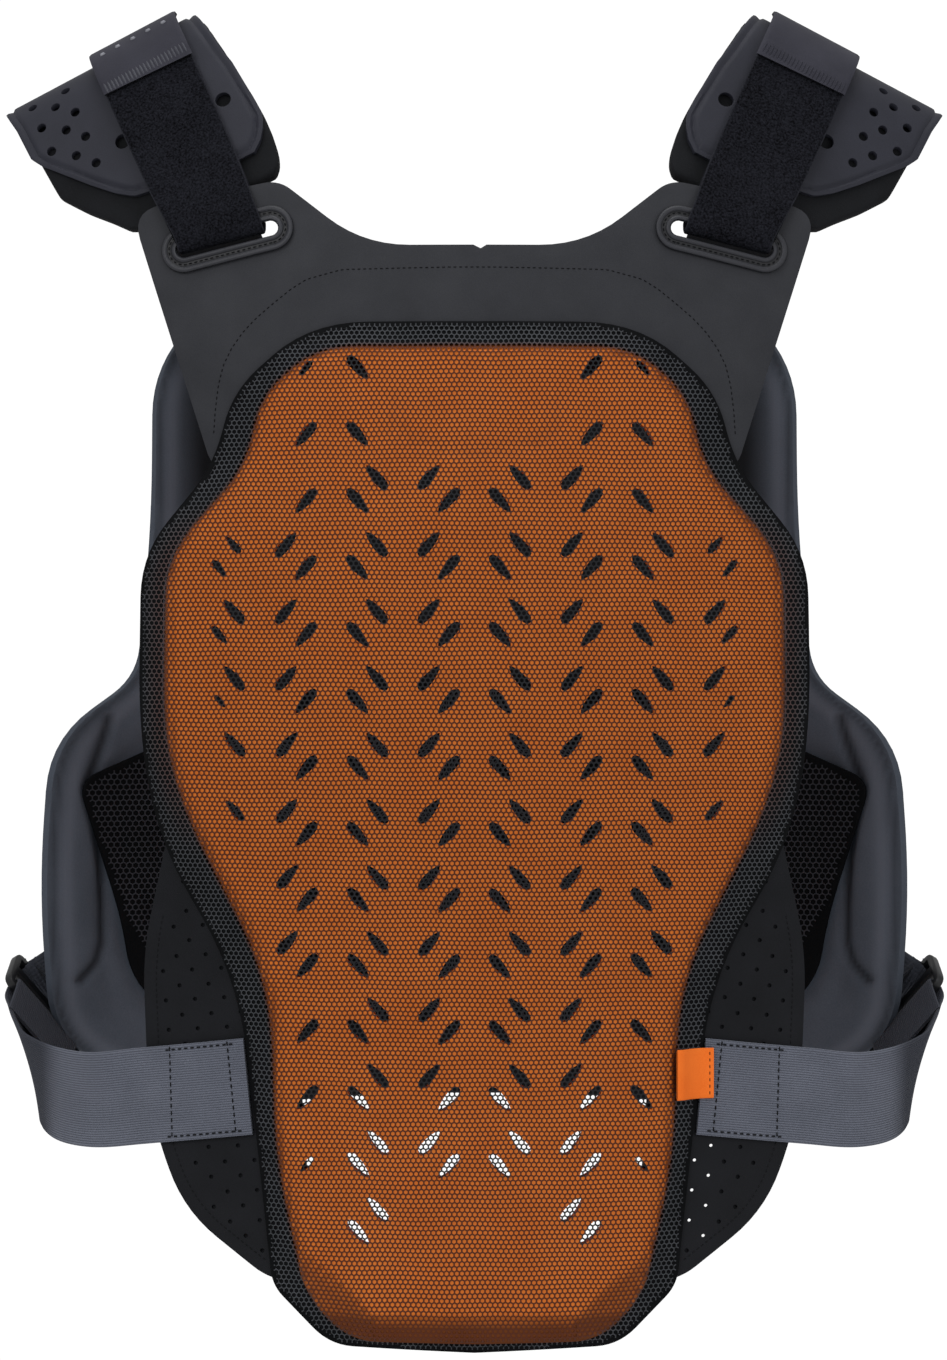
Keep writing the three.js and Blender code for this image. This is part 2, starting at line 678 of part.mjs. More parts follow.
// Elastic: sewn to the wing, free round the side, then looped through the buckle
function makeWaistStrap() {
  const lift = SHEET + 4 * GAP + STRAP.thick / 2;
  const stations = [];
  for (let i = 0; i <= WAIST.sewnSteps; i++) {
    const share = i / WAIST.sewnSteps;
    const x = WAIST.sewnFrom + (WAIST.sewnTo - WAIST.sewnFrom) * share;
    const z = WAIST.z - WAIST.fall * (x - WAIST.sewnFrom);
    const lean = WAIST.edgeLean * (1 - share);
    const across = backPoint(x + lean, z + 1, lift).sub(backPoint(x, z, lift)).normalize();
    stations.push({ point: backPoint(x, z, lift), across });
  }
  for (const { x, y, z, wx, wy, wz } of WAIST_STATIONS) {
    const across = new THREE.Vector3(wx, wy, wz).normalize();
    stations.push({ point: new THREE.Vector3(x, y, z), across });
  }
  stations.push(onBuckle(-BUCKLE.depth / 2 - LEAD_IN, buckleLift));
  stations.push(...barLoop(-1));
  stations.push(onBuckle(-BUCKLE.depth / 2 - TURN_BACK, -buckleLift));
  return ribbon(stations, STRAP.width, STRAP.thick);
}

// Webbing from the buckle's front bar to the outer face of the chest panel
function makeWebbing() {
  const loop = barLoop(1);
  const lift = PANEL_THICK + 3 * GAP + STRAP.thick / 2;
  const stations = WEBBING_PATH.map(({ angle, z }) => {
    const point = frontPoint(THREE.MathUtils.degToRad(angle), z, lift);
    const normal = frontPoint(THREE.MathUtils.degToRad(angle), z, lift + 1).sub(point);
    return { point, across: buckleWide.clone().projectOnPlane(normal).normalize() };
  });
  return ribbon([...loop, ...stations], WEBBING_WIDTH, STRAP.thick);
}

// Assembly

const vest = new THREE.Group();

function addPiece(parent, name, geometry, look) {
  const mesh = new THREE.Mesh(geometry, new THREE.MeshStandardMaterial(look));
  mesh.name = name;
  parent.add(mesh);
}

addPiece(vest, 'back_yoke', makeYoke(), LOOKS.yoke);
addPiece(vest, 'back_insert', makeInsert(), LOOKS.insert);
addPiece(vest, 'mesh_border', makeBorder(), LOOKS.border);
addPiece(vest, 'front_panel', makePanel(), LOOKS.panel);
addPiece(vest, 'front_lining', makeLining(), LOOKS.lining);
addPiece(vest, 'label_tag', makeTag(), LOOKS.tag);

const SIDE_PIECES = [
  { name: 'slot_rim', geometry: makeSlotRim(), look: LOOKS.rim },
  { name: 'side_wing', geometry: makeWing(), look: LOOKS.wing },
  { name: 'shoulder_guard', geometry: makeGuard(), look: LOOKS.guard },
  { name: 'shoulder_pad', geometry: makeShoulderPad(), look: LOOKS.pad },
  { name: 'shoulder_strap', geometry: makeShoulderStrap(), look: LOOKS.loop },
  { name: 'strap_end_tab', geometry: makeEndTab(), look: LOOKS.loop },
  { name: 'waist_strap', geometry: makeWaistStrap(), look: LOOKS.elastic },
  { name: 'waist_buckle', geometry: makeBuckle(), look: LOOKS.plastic },
  { name: 'buckle_webbing', geometry: makeWebbing(), look: LOOKS.elastic },
];

// Each side piece is made once for the wearer's right and mirrored for the left
for (const [side, flip] of [['right', 1], ['left', -1]]) {
  const half = new THREE.Group();
  half.scale.x = flip;
  vest.add(half);
  for (const { name, geometry, look } of SIDE_PIECES) addPiece(half, `${name}_${side}`, geometry, look);
}

export default vest;
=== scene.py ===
# %% [markdown]
# # A motorcycle vest, seen from behind
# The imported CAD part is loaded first. Every piece below is laid on the same torso and shoulder forms
# that the CAD solids use, so the looks and the solids share one frame. Sizes are in millimetres until
# a form turns them into metres.

# %% Load the frame
import math

import bpy
import numpy as np
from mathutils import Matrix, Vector


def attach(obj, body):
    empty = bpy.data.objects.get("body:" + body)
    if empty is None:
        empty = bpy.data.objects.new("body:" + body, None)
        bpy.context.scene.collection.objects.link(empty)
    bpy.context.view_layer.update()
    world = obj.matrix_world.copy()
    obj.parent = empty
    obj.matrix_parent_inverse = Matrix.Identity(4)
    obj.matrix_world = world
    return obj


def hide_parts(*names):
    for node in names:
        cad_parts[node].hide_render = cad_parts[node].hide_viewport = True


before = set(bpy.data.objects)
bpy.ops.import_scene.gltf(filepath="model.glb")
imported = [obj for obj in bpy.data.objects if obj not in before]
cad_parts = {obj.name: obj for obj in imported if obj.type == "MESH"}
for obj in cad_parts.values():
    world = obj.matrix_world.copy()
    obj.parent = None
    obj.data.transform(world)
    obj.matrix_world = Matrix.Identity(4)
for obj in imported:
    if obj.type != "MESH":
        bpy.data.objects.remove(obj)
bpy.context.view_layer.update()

MM = 0.001

# %% [markdown]
# ## The forms
# A vest in its worn shape follows three forms: the back, the chest and the arch of a shoulder.
# Each one takes flat pattern coordinates and a height above the sheet's inner face, as a tailor's
# pattern is taped on a dummy.


# %% Back, chest and shoulder
def ease(value, low, high):
    share = np.clip((value - low) / (high - low), 0, 1)
    return share * share * (3 - 2 * share)


def point(x, y, z):
    return np.stack(np.broadcast_arrays(x, y, z), axis=-1).astype(float)


def on_back(x, z, h):
    bow = 330 + 230 * ease(z, -220, -80)
    lean = 0.0013 * np.maximum(0, z + 140) ** 2
    depth = 114 + 14 * np.cos(2 * np.pi * (z + 260) / 520) - lean
    return point(x, x ** 2 / (2 * bow) - depth - h, z) * MM


def front_size(z):
    """Half the chest's width and its depth at a height."""
    half = 246 - 28 * ease(z, -420, -250)
    depth = 122 - 0.0009 * np.maximum(0, z + 240) ** 2 - 0.00012 * np.maximum(0, -240 - z) ** 2
    return half, depth


PANEL_THICK = 7


def on_front(x, z, h, flush=PANEL_THICK):
    """The chest, whose outline is the pattern's own at the height `flush`."""
    half, depth = front_size(z)
    angle = np.arcsin(np.clip(x / half, -0.999, 0.999))
    for _ in range(5):
        nx, ny = np.sin(angle) / half, np.cos(angle) / depth
        size = np.hypot(nx, ny)
        angle = np.arcsin(np.clip((x - flush * nx / size) / half, -0.999, 0.999))
    return point(half * np.sin(angle) + h * nx / size, depth * np.cos(angle) + h * ny / size, z) * MM


RIDGE_SLOPE = math.radians(27.9)
RIDGE_ROUND = 40
ALONG_RIDGE = np.array((-math.cos(RIDGE_SLOPE), 0, math.sin(RIDGE_SLOPE)))
DOWN_RIDGE = np.array((-math.sin(RIDGE_SLOPE), 0, -math.cos(RIDGE_SLOPE)))


def on_shoulder(u, t, h):
    u, t, h = np.broadcast_arrays(*(np.asarray(value, float) for value in (u, t, h)))
    leg = np.radians(np.where(t > 0, 66.0, 60.8))
    bend = np.minimum(np.abs(t) / RIDGE_ROUND, leg)
    straight = np.abs(t) - RIDGE_ROUND * bend
    narrow = 1 - 0.0035 * np.maximum(0, 62 - u)
    reach = ((RIDGE_ROUND + h) * np.sin(bend) + straight * np.cos(leg)) * narrow
    drop = RIDGE_ROUND - (RIDGE_ROUND + h) * np.cos(bend) + straight * np.sin(leg)
    start = point(244.6, -12 - np.sign(t) * reach, -17.8)
    return (start + u[..., None] * ALONG_RIDGE + drop[..., None] * DOWN_RIDGE) * MM


print("middle of the back:", np.round(on_back(0.0, -320.0, 0.0), 3))

# %% [markdown]
# ## Helpers
# These few helpers stand for what is done again and again by hand: select one object, add a modifier
# and apply it, add a grid and move its points onto a form, cut a flat sheet to its pattern with a
# boolean, and make the other side's twin.


# %% Objects and modifiers
def alone(piece):
    bpy.ops.object.select_all(action="DESELECT")
    piece.select_set(True)
    bpy.context.view_layer.objects.active = piece


def read_points(piece):
    points = np.empty(len(piece.data.vertices) * 3, np.float32)
    piece.data.vertices.foreach_get("co", points)
    return points.reshape(-1, 3).astype(float)


def write_points(piece, points):
    piece.data.vertices.foreach_set("co", np.ascontiguousarray(points, np.float32).ravel())
    piece.data.update()


def apply_modifier(piece, kind, **settings):
    modifier = piece.modifiers.new(kind.lower(), kind)
    for name, value in settings.items():
        setattr(modifier, name, value)
    alone(piece)
    bpy.ops.object.modifier_apply(modifier=modifier.name)


def edit(piece, *steps):
    """Runs steps in edit mode with everything selected."""
    alone(piece)
    bpy.ops.object.mode_set(mode="EDIT")
    bpy.ops.mesh.select_all(action="SELECT")
    for step in steps:
        step()
    bpy.ops.object.mode_set(mode="OBJECT")


def weld():
    bpy.ops.mesh.remove_doubles(threshold=0.00002)


def outward():
    bpy.ops.mesh.normals_make_consistent(inside=False)


def smooth(piece, angle=40):
    alone(piece)
    bpy.ops.object.shade_smooth_by_angle(angle=math.radians(angle))


def soften(piece, width, segments=2, angle=50):
    apply_modifier(piece, "BEVEL", width=width * MM, segments=segments, limit_method="ANGLE",
                   angle_limit=math.radians(angle))


def flat_grid(name, across, along):
    bpy.ops.object.select_all(action="DESELECT")
    bpy.ops.mesh.primitive_grid_add(x_subdivisions=int(across), y_subdivisions=int(along), size=1)
    piece = bpy.context.object
    piece.name = piece.data.name = name
    return piece


def from_arrays(name, points, faces):
    mesh = bpy.data.meshes.new(name)
    mesh.from_pydata(points, [], faces)
    piece = bpy.data.objects.new(name, mesh)
    bpy.context.scene.collection.objects.link(piece)
    return piece


def mirror(piece):
    write_points(piece, read_points(piece) * (-1, 1, 1))
    edit(piece, bpy.ops.mesh.flip_normals)


def twin(piece, name):
    other = piece.copy()
    other.data = piece.data.copy()
    other.name = other.data.name = name
    bpy.context.scene.collection.objects.link(other)
    mirror(other)
    return other


def two_sides(right, node):
    """A piece and its mirrored twin, each with its side's sign and the solid that it replaces."""
    left = twin(right, right.name[:-1] + "l")
    return (right, 1, node + "_right"), (left, -1, node + "_left")


def declare(piece, material, slot, *nodes):
    """Gives a piece its finish, its body and the solids that it replaces; its `slot` is not used."""
    piece.data.materials.clear()
    piece.data.materials.append(material)
    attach(piece, "root")
    if nodes:
        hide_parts(*nodes)


# %% [markdown]
# A pattern is a closed line of x and z with rounded corners, and most reliefs below follow the distance
# from such a line. A sheet is cut from a thick slab. It takes its real thickness when it is laid on a
# form.

# %% Patterns cut from a flat sheet
SLAB = 10
CORNER_STEPS = 8


def unit(rows):
    return rows / np.linalg.norm(rows, axis=-1, keepdims=True)


def outline(corners, both=True):
    """A closed line from corners of x, z and a rounding; `both` mirrors them to the left."""
    corners = [(*corner, 0)[:3] for corner in corners]
    if both:
        corners += [(-x, z, r) for x, z, r in reversed(corners) if x]
    line = []
    for i, (x, z, r) in enumerate(corners):
        here, before = np.array((x, z), float), np.array(corners[i - 1][:2], float)
        after = np.array(corners[(i + 1) % len(corners)][:2], float)
        if not r:
            line.append(here)
            continue
        lead, trail = np.linalg.norm(before - here), np.linalg.norm(after - here)
        start = here + (before - here) * min(r / lead, 0.48)
        end = here + (after - here) * min(r / trail, 0.48)
        for s in np.linspace(0, 1, CORNER_STEPS):
            line.append((1 - s) ** 2 * start + 2 * s * (1 - s) * here + s * s * end)
    return np.array(line)


def line_distance(x, z, line):
    """How far each point lies from an open line."""
    nearest = np.full(np.shape(x), 1e9)
    for (ax, az), (bx, bz) in zip(line[:-1], line[1:]):
        dx, dz = bx - ax, bz - az
        share = np.clip(((x - ax) * dx + (z - az) * dz) / (dx * dx + dz * dz + 1e-12), 0, 1)
        nearest = np.minimum(nearest, (x - ax - share * dx) ** 2 + (z - az - share * dz) ** 2)
    return np.sqrt(nearest)


def edge_distance(x, z, line):
    """How far each point lies inside a closed line, negative outside it."""
    closed = np.concatenate((line, line[:1]))
    inside = np.zeros(np.shape(x), bool)
    for (ax, az), (bx, bz) in zip(closed[:-1], closed[1:]):
        inside ^= ((az > z) != (bz > z)) & (x < (bx - ax) * (z - az) / (bz - az or 1e-12) + ax)
    return np.where(inside, 1, -1) * line_distance(x, z, closed)


def turned_area(line):
    """A closed line's area, negative where it runs clockwise."""
    x, z = line.T
    return np.sum(x * np.roll(z, -1) - z * np.roll(x, -1)) / 2


def grown(line, by):
    """The line moved outward, or inward for a negative distance."""
    ahead = np.roll(line, -1, 0) - np.roll(line, 1, 0)
    side = unit(np.stack((ahead[:, 1], -ahead[:, 0]), 1))
    return line + np.sign(turned_area(line)) * by * side


def cutter(rings):
    """Prisms in one mesh; each has a lower and an upper ring of points."""
    points, faces = [], []
    for low, high in rings:
        first, count = len(points), len(low)
        points += [*low, *high]
        middle, last = first + count, first + 2 * count
        faces += [tuple(range(first, middle)), tuple(range(last - 1, middle - 1, -1))]
        for i in range(count):
            j = (i + 1) % count
            faces.append((first + j, first + i, middle + i, middle + j))
    tool = from_arrays("cutter", points, faces)
    edit(tool, outward)
    return tool


def prisms(lines, high=2 * SLAB):
    return cutter([([(x, -SLAB, z) for x, z in line], [(x, high, z) for x, z in line]) for line in lines])


def cut(piece, tool, operation="DIFFERENCE"):
    apply_modifier(piece, "BOOLEAN", operation=operation, object=tool, solver="EXACT")
    bpy.data.objects.remove(tool)


def cut_sheet(name, line, cell, holes=()):
    low, high = line.min(0) - cell, line.max(0) + cell
    piece = flat_grid(name, *np.ceil((high - low) / cell))
    u, v, _ = read_points(piece).T + 0.5
    write_points(piece, point(low[0] + u * (high - low)[0], 0.0, low[1] + v * (high - low)[1]))
    apply_modifier(piece, "SOLIDIFY", thickness=SLAB)
    cut(piece, prisms([line]), "INTERSECT")
    if len(holes):
        cut(piece, prisms(holes))
    return piece


def drape(piece, form, low, high):
    """Lays a cut sheet on the back or the chest; low and high are heights or functions of x and z."""
    x, y, z = read_points(piece).T
    share = y / SLAB if form is on_front else 1 - y / SLAB
    low, high = (value(x, z) if callable(value) else value for value in (low, high))
    write_points(piece, form(x, z, low + share * (high - low)))


# %% [markdown]
# ## Finishes
# All finishes are procedural. Each one mixes two tones in soft patches, as cloth and foam are never
# one even colour, and lifts a fine grain with a bump. A few get lines from an attribute that a
# piece carries, such as the distance along a strap.


# %% Material builder
def tone(red, green, blue):
    share = np.array((red, green, blue)) / 255
    linear = np.where(share <= 0.04045, share / 12.92, ((share + 0.055) / 1.055) ** 2.4)
    return (*linear.tolist(), 1.0)


def feed(tree, socket, value):
    """Links another node's output to a socket, or sets the socket's value."""
    if isinstance(value, bpy.types.NodeSocket):
        tree.links.new(value, socket)
    else:
        socket.default_value = value


def add_node(tree, kind, inputs, **settings):
    """A shader node; each input takes a number, a colour or another node's output."""
    node = tree.nodes.new("ShaderNode" + kind)
    for name, value in settings.items():
        setattr(node, name, value)
    for key, value in inputs.items():
        feed(tree, node.inputs[key], value)
    return node.outputs


PATCH_SCALE = 45


def finish(name, dark, light, rough=(0.6, 0.8), grain=1300, depth=0.1, sheen=0.0, specular=0.12, fine=0.5,
           spread=0.18):
    """Two tones in patches and grain: `fine` is the grain's share, `spread` how soft the change is."""
    material = bpy.data.materials.new(name)
    material.use_nodes = True
    tree = material.node_tree
    place = add_node(tree, "TexCoord", {})["Object"]
    patches = add_node(tree, "TexNoise", {"Vector": place, "Scale": PATCH_SCALE, "Detail": 4})["Fac"]
    grains = add_node(tree, "TexNoise", {"Vector": place, "Scale": grain, "Detail": 3})["Fac"]
    broad = add_node(tree, "Math", {0: patches, 1: 1 - fine}, operation="MULTIPLY")[0]
    both = add_node(tree, "Math", {0: grains, 1: fine, 2: broad}, operation="MULTIPLY_ADD")[0]
    limits = {"Value": both, "From Min": 0.5 - spread, "From Max": 0.5 + spread}
    tones = {"Factor": add_node(tree, "MapRange", limits)[0], "A": tone(*dark), "B": tone(*light)}
    polish = {"Value": grains, "To Min": rough[0], "To Max": rough[1]}
    looks = {
        "Base Color": add_node(tree, "Mix", tones, data_type="RGBA")["Result"],
        "Roughness": add_node(tree, "MapRange", polish)[0],
        "Normal": add_node(tree, "Bump", {"Height": grains, "Distance": depth * MM})[0],
        "Sheen Weight": sheen,
        "Specular IOR Level": specular,
    }
    for key, value in looks.items():
        feed(tree, tree.nodes["Principled BSDF"].inputs[key], value)
    return material


def tint(material, attribute, colour, strength):
    """Mixes a colour in where an attribute of the piece is high."""
    tree = material.node_tree
    target = tree.nodes["Principled BSDF"].inputs["Base Color"]
    value = add_node(tree, "Attribute", {}, attribute_name=attribute)["Fac"]
    amount = add_node(tree, "Math", {0: value, 1: strength}, operation="MULTIPLY")[0]
    tones = {"Factor": amount, "A": target.links[0].from_socket, "B": tone(*colour)}
    feed(tree, target, add_node(tree, "Mix", tones, data_type="RGBA")["Result"])


def cross_lines(material, pitch, depth):
    """Fine lines across a strap, from the attribute that holds the distance along it."""
    tree = material.node_tree
    along = add_node(tree, "Attribute", {}, attribute_name="along")["Fac"]
    turns = add_node(tree, "Math", {0: along, 1: 2 * math.pi / pitch}, operation="MULTIPLY")[0]
    wave = add_node(tree, "Math", {0: turns}, operation="SINE")[0]
    relief = {"Height": wave, "Distance": depth * MM, "Normal": tree.nodes["Bump"].outputs[0]}
    feed(tree, tree.nodes["Principled BSDF"].inputs["Normal"], add_node(tree, "Bump", relief)[0])


def mark(piece, attribute, values):
    layer = piece.data.attributes.new(attribute, "FLOAT", "POINT")
    layer.data.foreach_set("value", np.ascontiguousarray(values, np.float32))


# %% [markdown]
# Each piece has its own pair of tones. A mark on a piece brings in a third one, and most marks are painted
# light: painted shade in the groove beside a rib and at the edge of the foam, and painted orange bounce
# light on yarn that lies over orange.

# %% The vest's finishes
YOKE_SHEET = finish("yoke_sheet", (43, 44, 48), (53, 54, 58), (0.55, 0.75), grain=1700, depth=0.06)
RIM_RUBBER = finish("rim_rubber", (34, 35, 40), (46, 47, 53), (0.4, 0.55), specular=0.3)
# Painted shade: the rim is darkened in its sunk channel and on its outer wall.
tint(RIM_RUBBER, "channel", (10, 11, 13), 0.7)
INSERT_FOAM = finish("insert_foam", (200, 104, 36), (218, 120, 46), grain=700)
# Painted shade: the foam is darkened at its rounded edge, on the chamfer at its foot and in the U groove.
tint(INSERT_FOAM, "edge", (34, 18, 12), 0.9)
NET_YARN = finish("net_yarn", (50, 52, 55), (70, 72, 76))
# Painted orange bounce light: the black yarn is tinted orange-brown where it lies over the insert.
tint(NET_YARN, "over", (88, 40, 15), 0.88)
# Painted shade: the yarn is darkened where it spans the vents.
tint(NET_YARN, "vent", (16, 17, 20), 0.78)
BORDER_CLOTH = finish("border_cloth", (7, 8, 9), (15, 16, 18), (0.75, 0.95), grain=900, specular=0.06)
WING_SHEET = finish("wing_sheet", (17, 18, 21), (25, 26, 30), (0.55, 0.75), grain=1500)
ELASTIC = finish("elastic", (95, 99, 111), (111, 115, 128), (0.7, 0.9), grain=1500, depth=0.2, sheen=0.1)
# Painted shade: the elastic is darkened in the grooves between its ribs.
tint(ELASTIC, "groove", (44, 46, 54), 0.72)
# Painted shade: the strap's end past its turn at the buckle is darkened.
tint(ELASTIC, "turned", (28, 32, 44), 0.9)
cross_lines(ELASTIC, 0.9, 0.12)
WEBBING = finish("webbing", (46, 49, 57), (70, 73, 82), (0.7, 0.9), sheen=0.1)
cross_lines(WEBBING, 1.6, 0.2)
PLASTIC = finish("buckle_plastic", (16, 17, 19), (24, 25, 28), (0.32, 0.48), grain=900, depth=0.03,
                 specular=0.35)
GUARD_SKIN = finish("guard_skin", (34, 35, 43), (44, 45, 54), (0.5, 0.7), grain=1600, depth=0.08,
                    specular=0.2)
PAD_CLOTH = finish("pad_cloth", (17, 18, 20), (27, 28, 31), (0.75, 0.95), grain=1100, depth=0.15)
LOOP_PILE = finish("loop_pile", (3, 3, 5), (32, 33, 39), (0.85, 1.0), grain=900, depth=0.9, specular=0.05,
                   fine=0.8, spread=0.16)
tint(LOOP_PILE, "selvedge", (60, 61, 68), 0.4)
TAB_CLOTH = finish("tab_cloth", (40, 40, 48), (54, 54, 63), (0.5, 0.7), grain=1500)
PANEL_FOAM = finish("panel_foam", (71, 77, 87), (83, 89, 100), (0.55, 0.75), grain=1100)
# Painted highlight: a lighter band along the panel's rolled edge.
tint(PANEL_FOAM, "rim", (104, 109, 121), 0.5)
# Painted shade: a thin dark line along the panel's outer edge and in its crease.
tint(PANEL_FOAM, "crease", (20, 21, 25), 0.75)
# The middle of the panel's inner face is painted near black, and beside the yoke's edge a painted shadow of
# the yoke falls on it.
tint(PANEL_FOAM, "lined", (9, 10, 12), 0.95)
LINING_CLOTH = finish("lining_cloth", (7, 8, 10), (14, 15, 17), (0.8, 0.95), grain=900, specular=0.06)
LINING_YARN = finish("lining_yarn", (38, 39, 44), (54, 55, 61), (0.7, 0.9))
TAG_CLOTH = finish("tag_cloth", (230, 104, 28), (242, 122, 44), grain=1800)
DARK_THREAD = finish("dark_thread", (9, 10, 12), (20, 21, 24), (0.5, 0.7))
GREY_THREAD = finish("grey_thread", (64, 65, 72), (88, 89, 96), (0.5, 0.7))
PALE_THREAD = finish("pale_thread", (112, 113, 120), (140, 141, 148), (0.5, 0.7))
print("finishes:", len(bpy.data.materials))

# %% [markdown]
# ## Stitches
# A sewn line is a row of short beads. One bead is a spindle of a dozen faces, and each row is a single
# mesh of its copies, turned along the seam and half sunk in the cloth.


# %% Rows of stitches
def gone_along(line):
    """How far along a line each of its points lies."""
    return np.concatenate(([0], np.cumsum(np.linalg.norm(np.diff(line, axis=0), axis=1))))


def sampled(table, places, at):
    """Rows read between those of a table, whose own rows stand at `places`."""
    return np.stack([np.interp(at, places, column) for column in table.T], 1)


def walk(path, up, pitch):
    """Even steps along a path: places, directions and the outward direction at each."""
    gone = gone_along(path)
    steps = np.arange(pitch / 2, gone[-1], pitch)
    ahead = unit(sampled(path, gone, steps + pitch / 8) - sampled(path, gone, steps - pitch / 8))
    return sampled(path, gone, steps), ahead, sampled(up, gone, steps)


def spindles(name, places, ahead, up, length, width):
    side = unit(np.cross(up, ahead))
    up = np.cross(ahead, side)
    rings = [places - ahead * length / 2]
    for share in (-0.28, 0.28):
        for a, b in ((1, 0), (0, 1), (-1, 0), (0, -1)):
            rings.append(places + ahead * length * share + (side * a + up * b) * width / 2)
    rings.append(places + ahead * length / 2)
    points = np.stack(rings, 1).reshape(-1, 3)
    shape = []
    for k in range(4):
        n = (k + 1) % 4
        shape += [(0, 1 + n, 1 + k), (1 + k, 1 + n, 5 + n, 5 + k), (9, 5 + k, 5 + n)]
    faces = [tuple(10 * i + k for k in face) for i in range(len(places)) for face in shape]
    piece = from_arrays(name, points.tolist(), faces)
    edit(piece, outward)
    smooth(piece, 60)
    return piece


def stitches(name, path, up, slot, length, gap, width):
    piece = spindles(name, *walk(path, up, (length + gap) * MM), length * MM, width * MM)
    declare(piece, DARK_THREAD, slot)


LINE_STEP = 3.0


def back_line(pattern, h):
    """A line of pattern points, laid on the back at one height, with its outward directions."""
    pattern = np.array(pattern, float)
    gone = gone_along(pattern)
    at = np.linspace(0, gone[-1], max(2, int(gone[-1] / LINE_STEP)))
    x, z = sampled(pattern, gone, at).T
    path = on_back(x, z, h)
    slope = on_back(x + 1, z, h) - path
    rise = on_back(x, z + 1, h) - path
    return path, unit(np.cross(slope, rise))


# %% [markdown]
# ## Back yoke
# The yoke is a smooth coated sheet over the shoulder blades. It is cut flat, with its two slots and the
# small notch that marks the middle of the neckline, laid on the back and its edge is rounded.

# %% Yoke, cut and laid
YOKE = outline([(0, -97), (57, -97, 24), (101, -62, 8), (178, -77, 16), (137, -204), (128, -222, 8),
                (98, -200, 20), (84, -164, 16), (0, -162)])
SLOT = {"x": 127.4, "z": -92.8, "half": 23, "round": 4}
SLOT_TILT = math.radians(13.5)


def stadium(share, out):
    """A place round the right slot, `out` from its edge, for a share of the way round."""
    half, middle = SLOT["half"], SLOT["round"] + 4
    lengths = np.array((2 * half, math.pi * middle, 2 * half, math.pi * middle))
    ends = np.concatenate(([0], np.cumsum(lengths)))
    at = np.mod(np.asarray(share, float), 1) * ends[-1]
    part = np.clip(np.searchsorted(ends, at, side="right") - 1, 0, 3)
    local = (at - ends[part]) / lengths[part]
    r = SLOT["round"] + out
    turn = np.where(part == 1, 1.5 * np.pi + local * np.pi, np.pi / 2 + local * np.pi)
    a = np.choose(part, (-half + 2 * half * local, half + r * np.cos(turn),
                         half - 2 * half * local, -half + r * np.cos(turn)))
    b = np.choose(part, (-r, r * np.sin(turn), r, r * np.sin(turn)))
    cos, sin = math.cos(SLOT_TILT), math.sin(SLOT_TILT)
    return SLOT["x"] + a * cos + b * sin, SLOT["z"] - a * sin + b * cos


slot_line = np.stack(stadium(np.linspace(0, 1, 48, endpoint=False), 0.0), 1)
notch = np.array([(-0.4, -95), (6.0, -95), (6.0, -97.1), (3.2, -98.9), (-0.4, -97.1)])
yoke = cut_sheet("yoke", YOKE, 5.0, [slot_line, slot_line * (-1, 1), notch])
drape(yoke, on_back, 0.0, 2.0)
soften(yoke, 0.6)
smooth(yoke)
declare(yoke, YOKE_SHEET, "yoke", "back_yoke")
YOKE_SEAM = [(12, -108.7), (68, -109.7), (85.9, -114.5), (94, -119.5), (103.1, -126.8), (112, -134.4),
             (118.8, -141.5), (124.6, -149.6), (129, -158.5), (131.6, -169), (133.2, -182), (134, -194)]
YOKE_SEAM = [(-x, z) for x, z in YOKE_SEAM[::-1]] + YOKE_SEAM
stitches("yoke_seam", *back_line(YOKE_SEAM, 2.1), "yoke", length=1.8, gap=1.1, width=0.6)
print("yoke faces:", len(yoke.data.polygons))

# %% [markdown]
# ## Slot rims
# Each slot has a moulded rim: a lip round the hole, a sunk channel with a row of stitches and an outer
# ridge. Its section is drawn once and carried round the slot.

# %% Rims, swept round the slots
RIM_SECTION = np.array([(0.3, 2.3), (0.2, 4.3), (0.7, 5.0), (1.6, 5.1), (2.4, 4.6), (2.9, 4.0), (4.7, 3.9),
                        (5.2, 4.4), (5.9, 4.9), (6.9, 4.9), (7.6, 4.4), (8.0, 3.6), (8.0, 2.3), (0.3, 2.3)])
rim = flat_grid("slot_rim_r", 96, 26)
u, v, _ = read_points(rim).T + 0.5
numbers = np.arange(len(RIM_SECTION))
out, height = sampled(RIM_SECTION, numbers, v * numbers[-1]).T
write_points(rim, on_back(*stadium(u, out), height))
# Painted shade in the sunk channel, and a painted shadow on the rim's outer wall.
mark(rim, "channel", ((out > 2.6) & (out < 5.0) & (height < 4.3) | (out > 7.7)).astype(float))
edit(rim, weld, outward)
smooth(rim, 50)
rim_path = on_back(*stadium(np.linspace(0, 1, 120), 3.9), 4.0)
rim_up = np.tile((0.0, -1.0, 0.0), (len(rim_path), 1))
for piece, side, node in two_sides(rim, "slot_rim"):
    declare(piece, RIM_RUBBER, "rim", node)
    stitches(piece.name + "_seam", rim_path * (side, 1, 1), rim_up, "rim", length=2.0, gap=0.9, width=0.7)
print("rim faces:", len(rim.data.polygons))

# %% [markdown]
# ## Back insert
# The protector is a slab of soft orange foam with slanted leaf-shaped vents right through it. The vents
# are drawn as one leaf, set out in columns that are mirrored left and right, and cut in one boolean.
# The rim is rounded, the bottom edge is chamfered and a shallow U is pressed in under the collar.

# %% Vents and slab
INSERT = outline([(0, -149), (80, -149, 22), (110, -174, 18), (117, -210, 18), (159, -256, 22),
                  (161, -346, 30), (151, -387, 25), (106, -475, 35), (103, -566, 30), (87, -635, 18),
                  (65, -657, 14), (0, -658)])
INSERT_FOOT, INSERT_TOP, INSERT_ROUND = 2.4, 16.4, 7
VENT_TILT, VENT_STEP = math.radians(41), 33.9
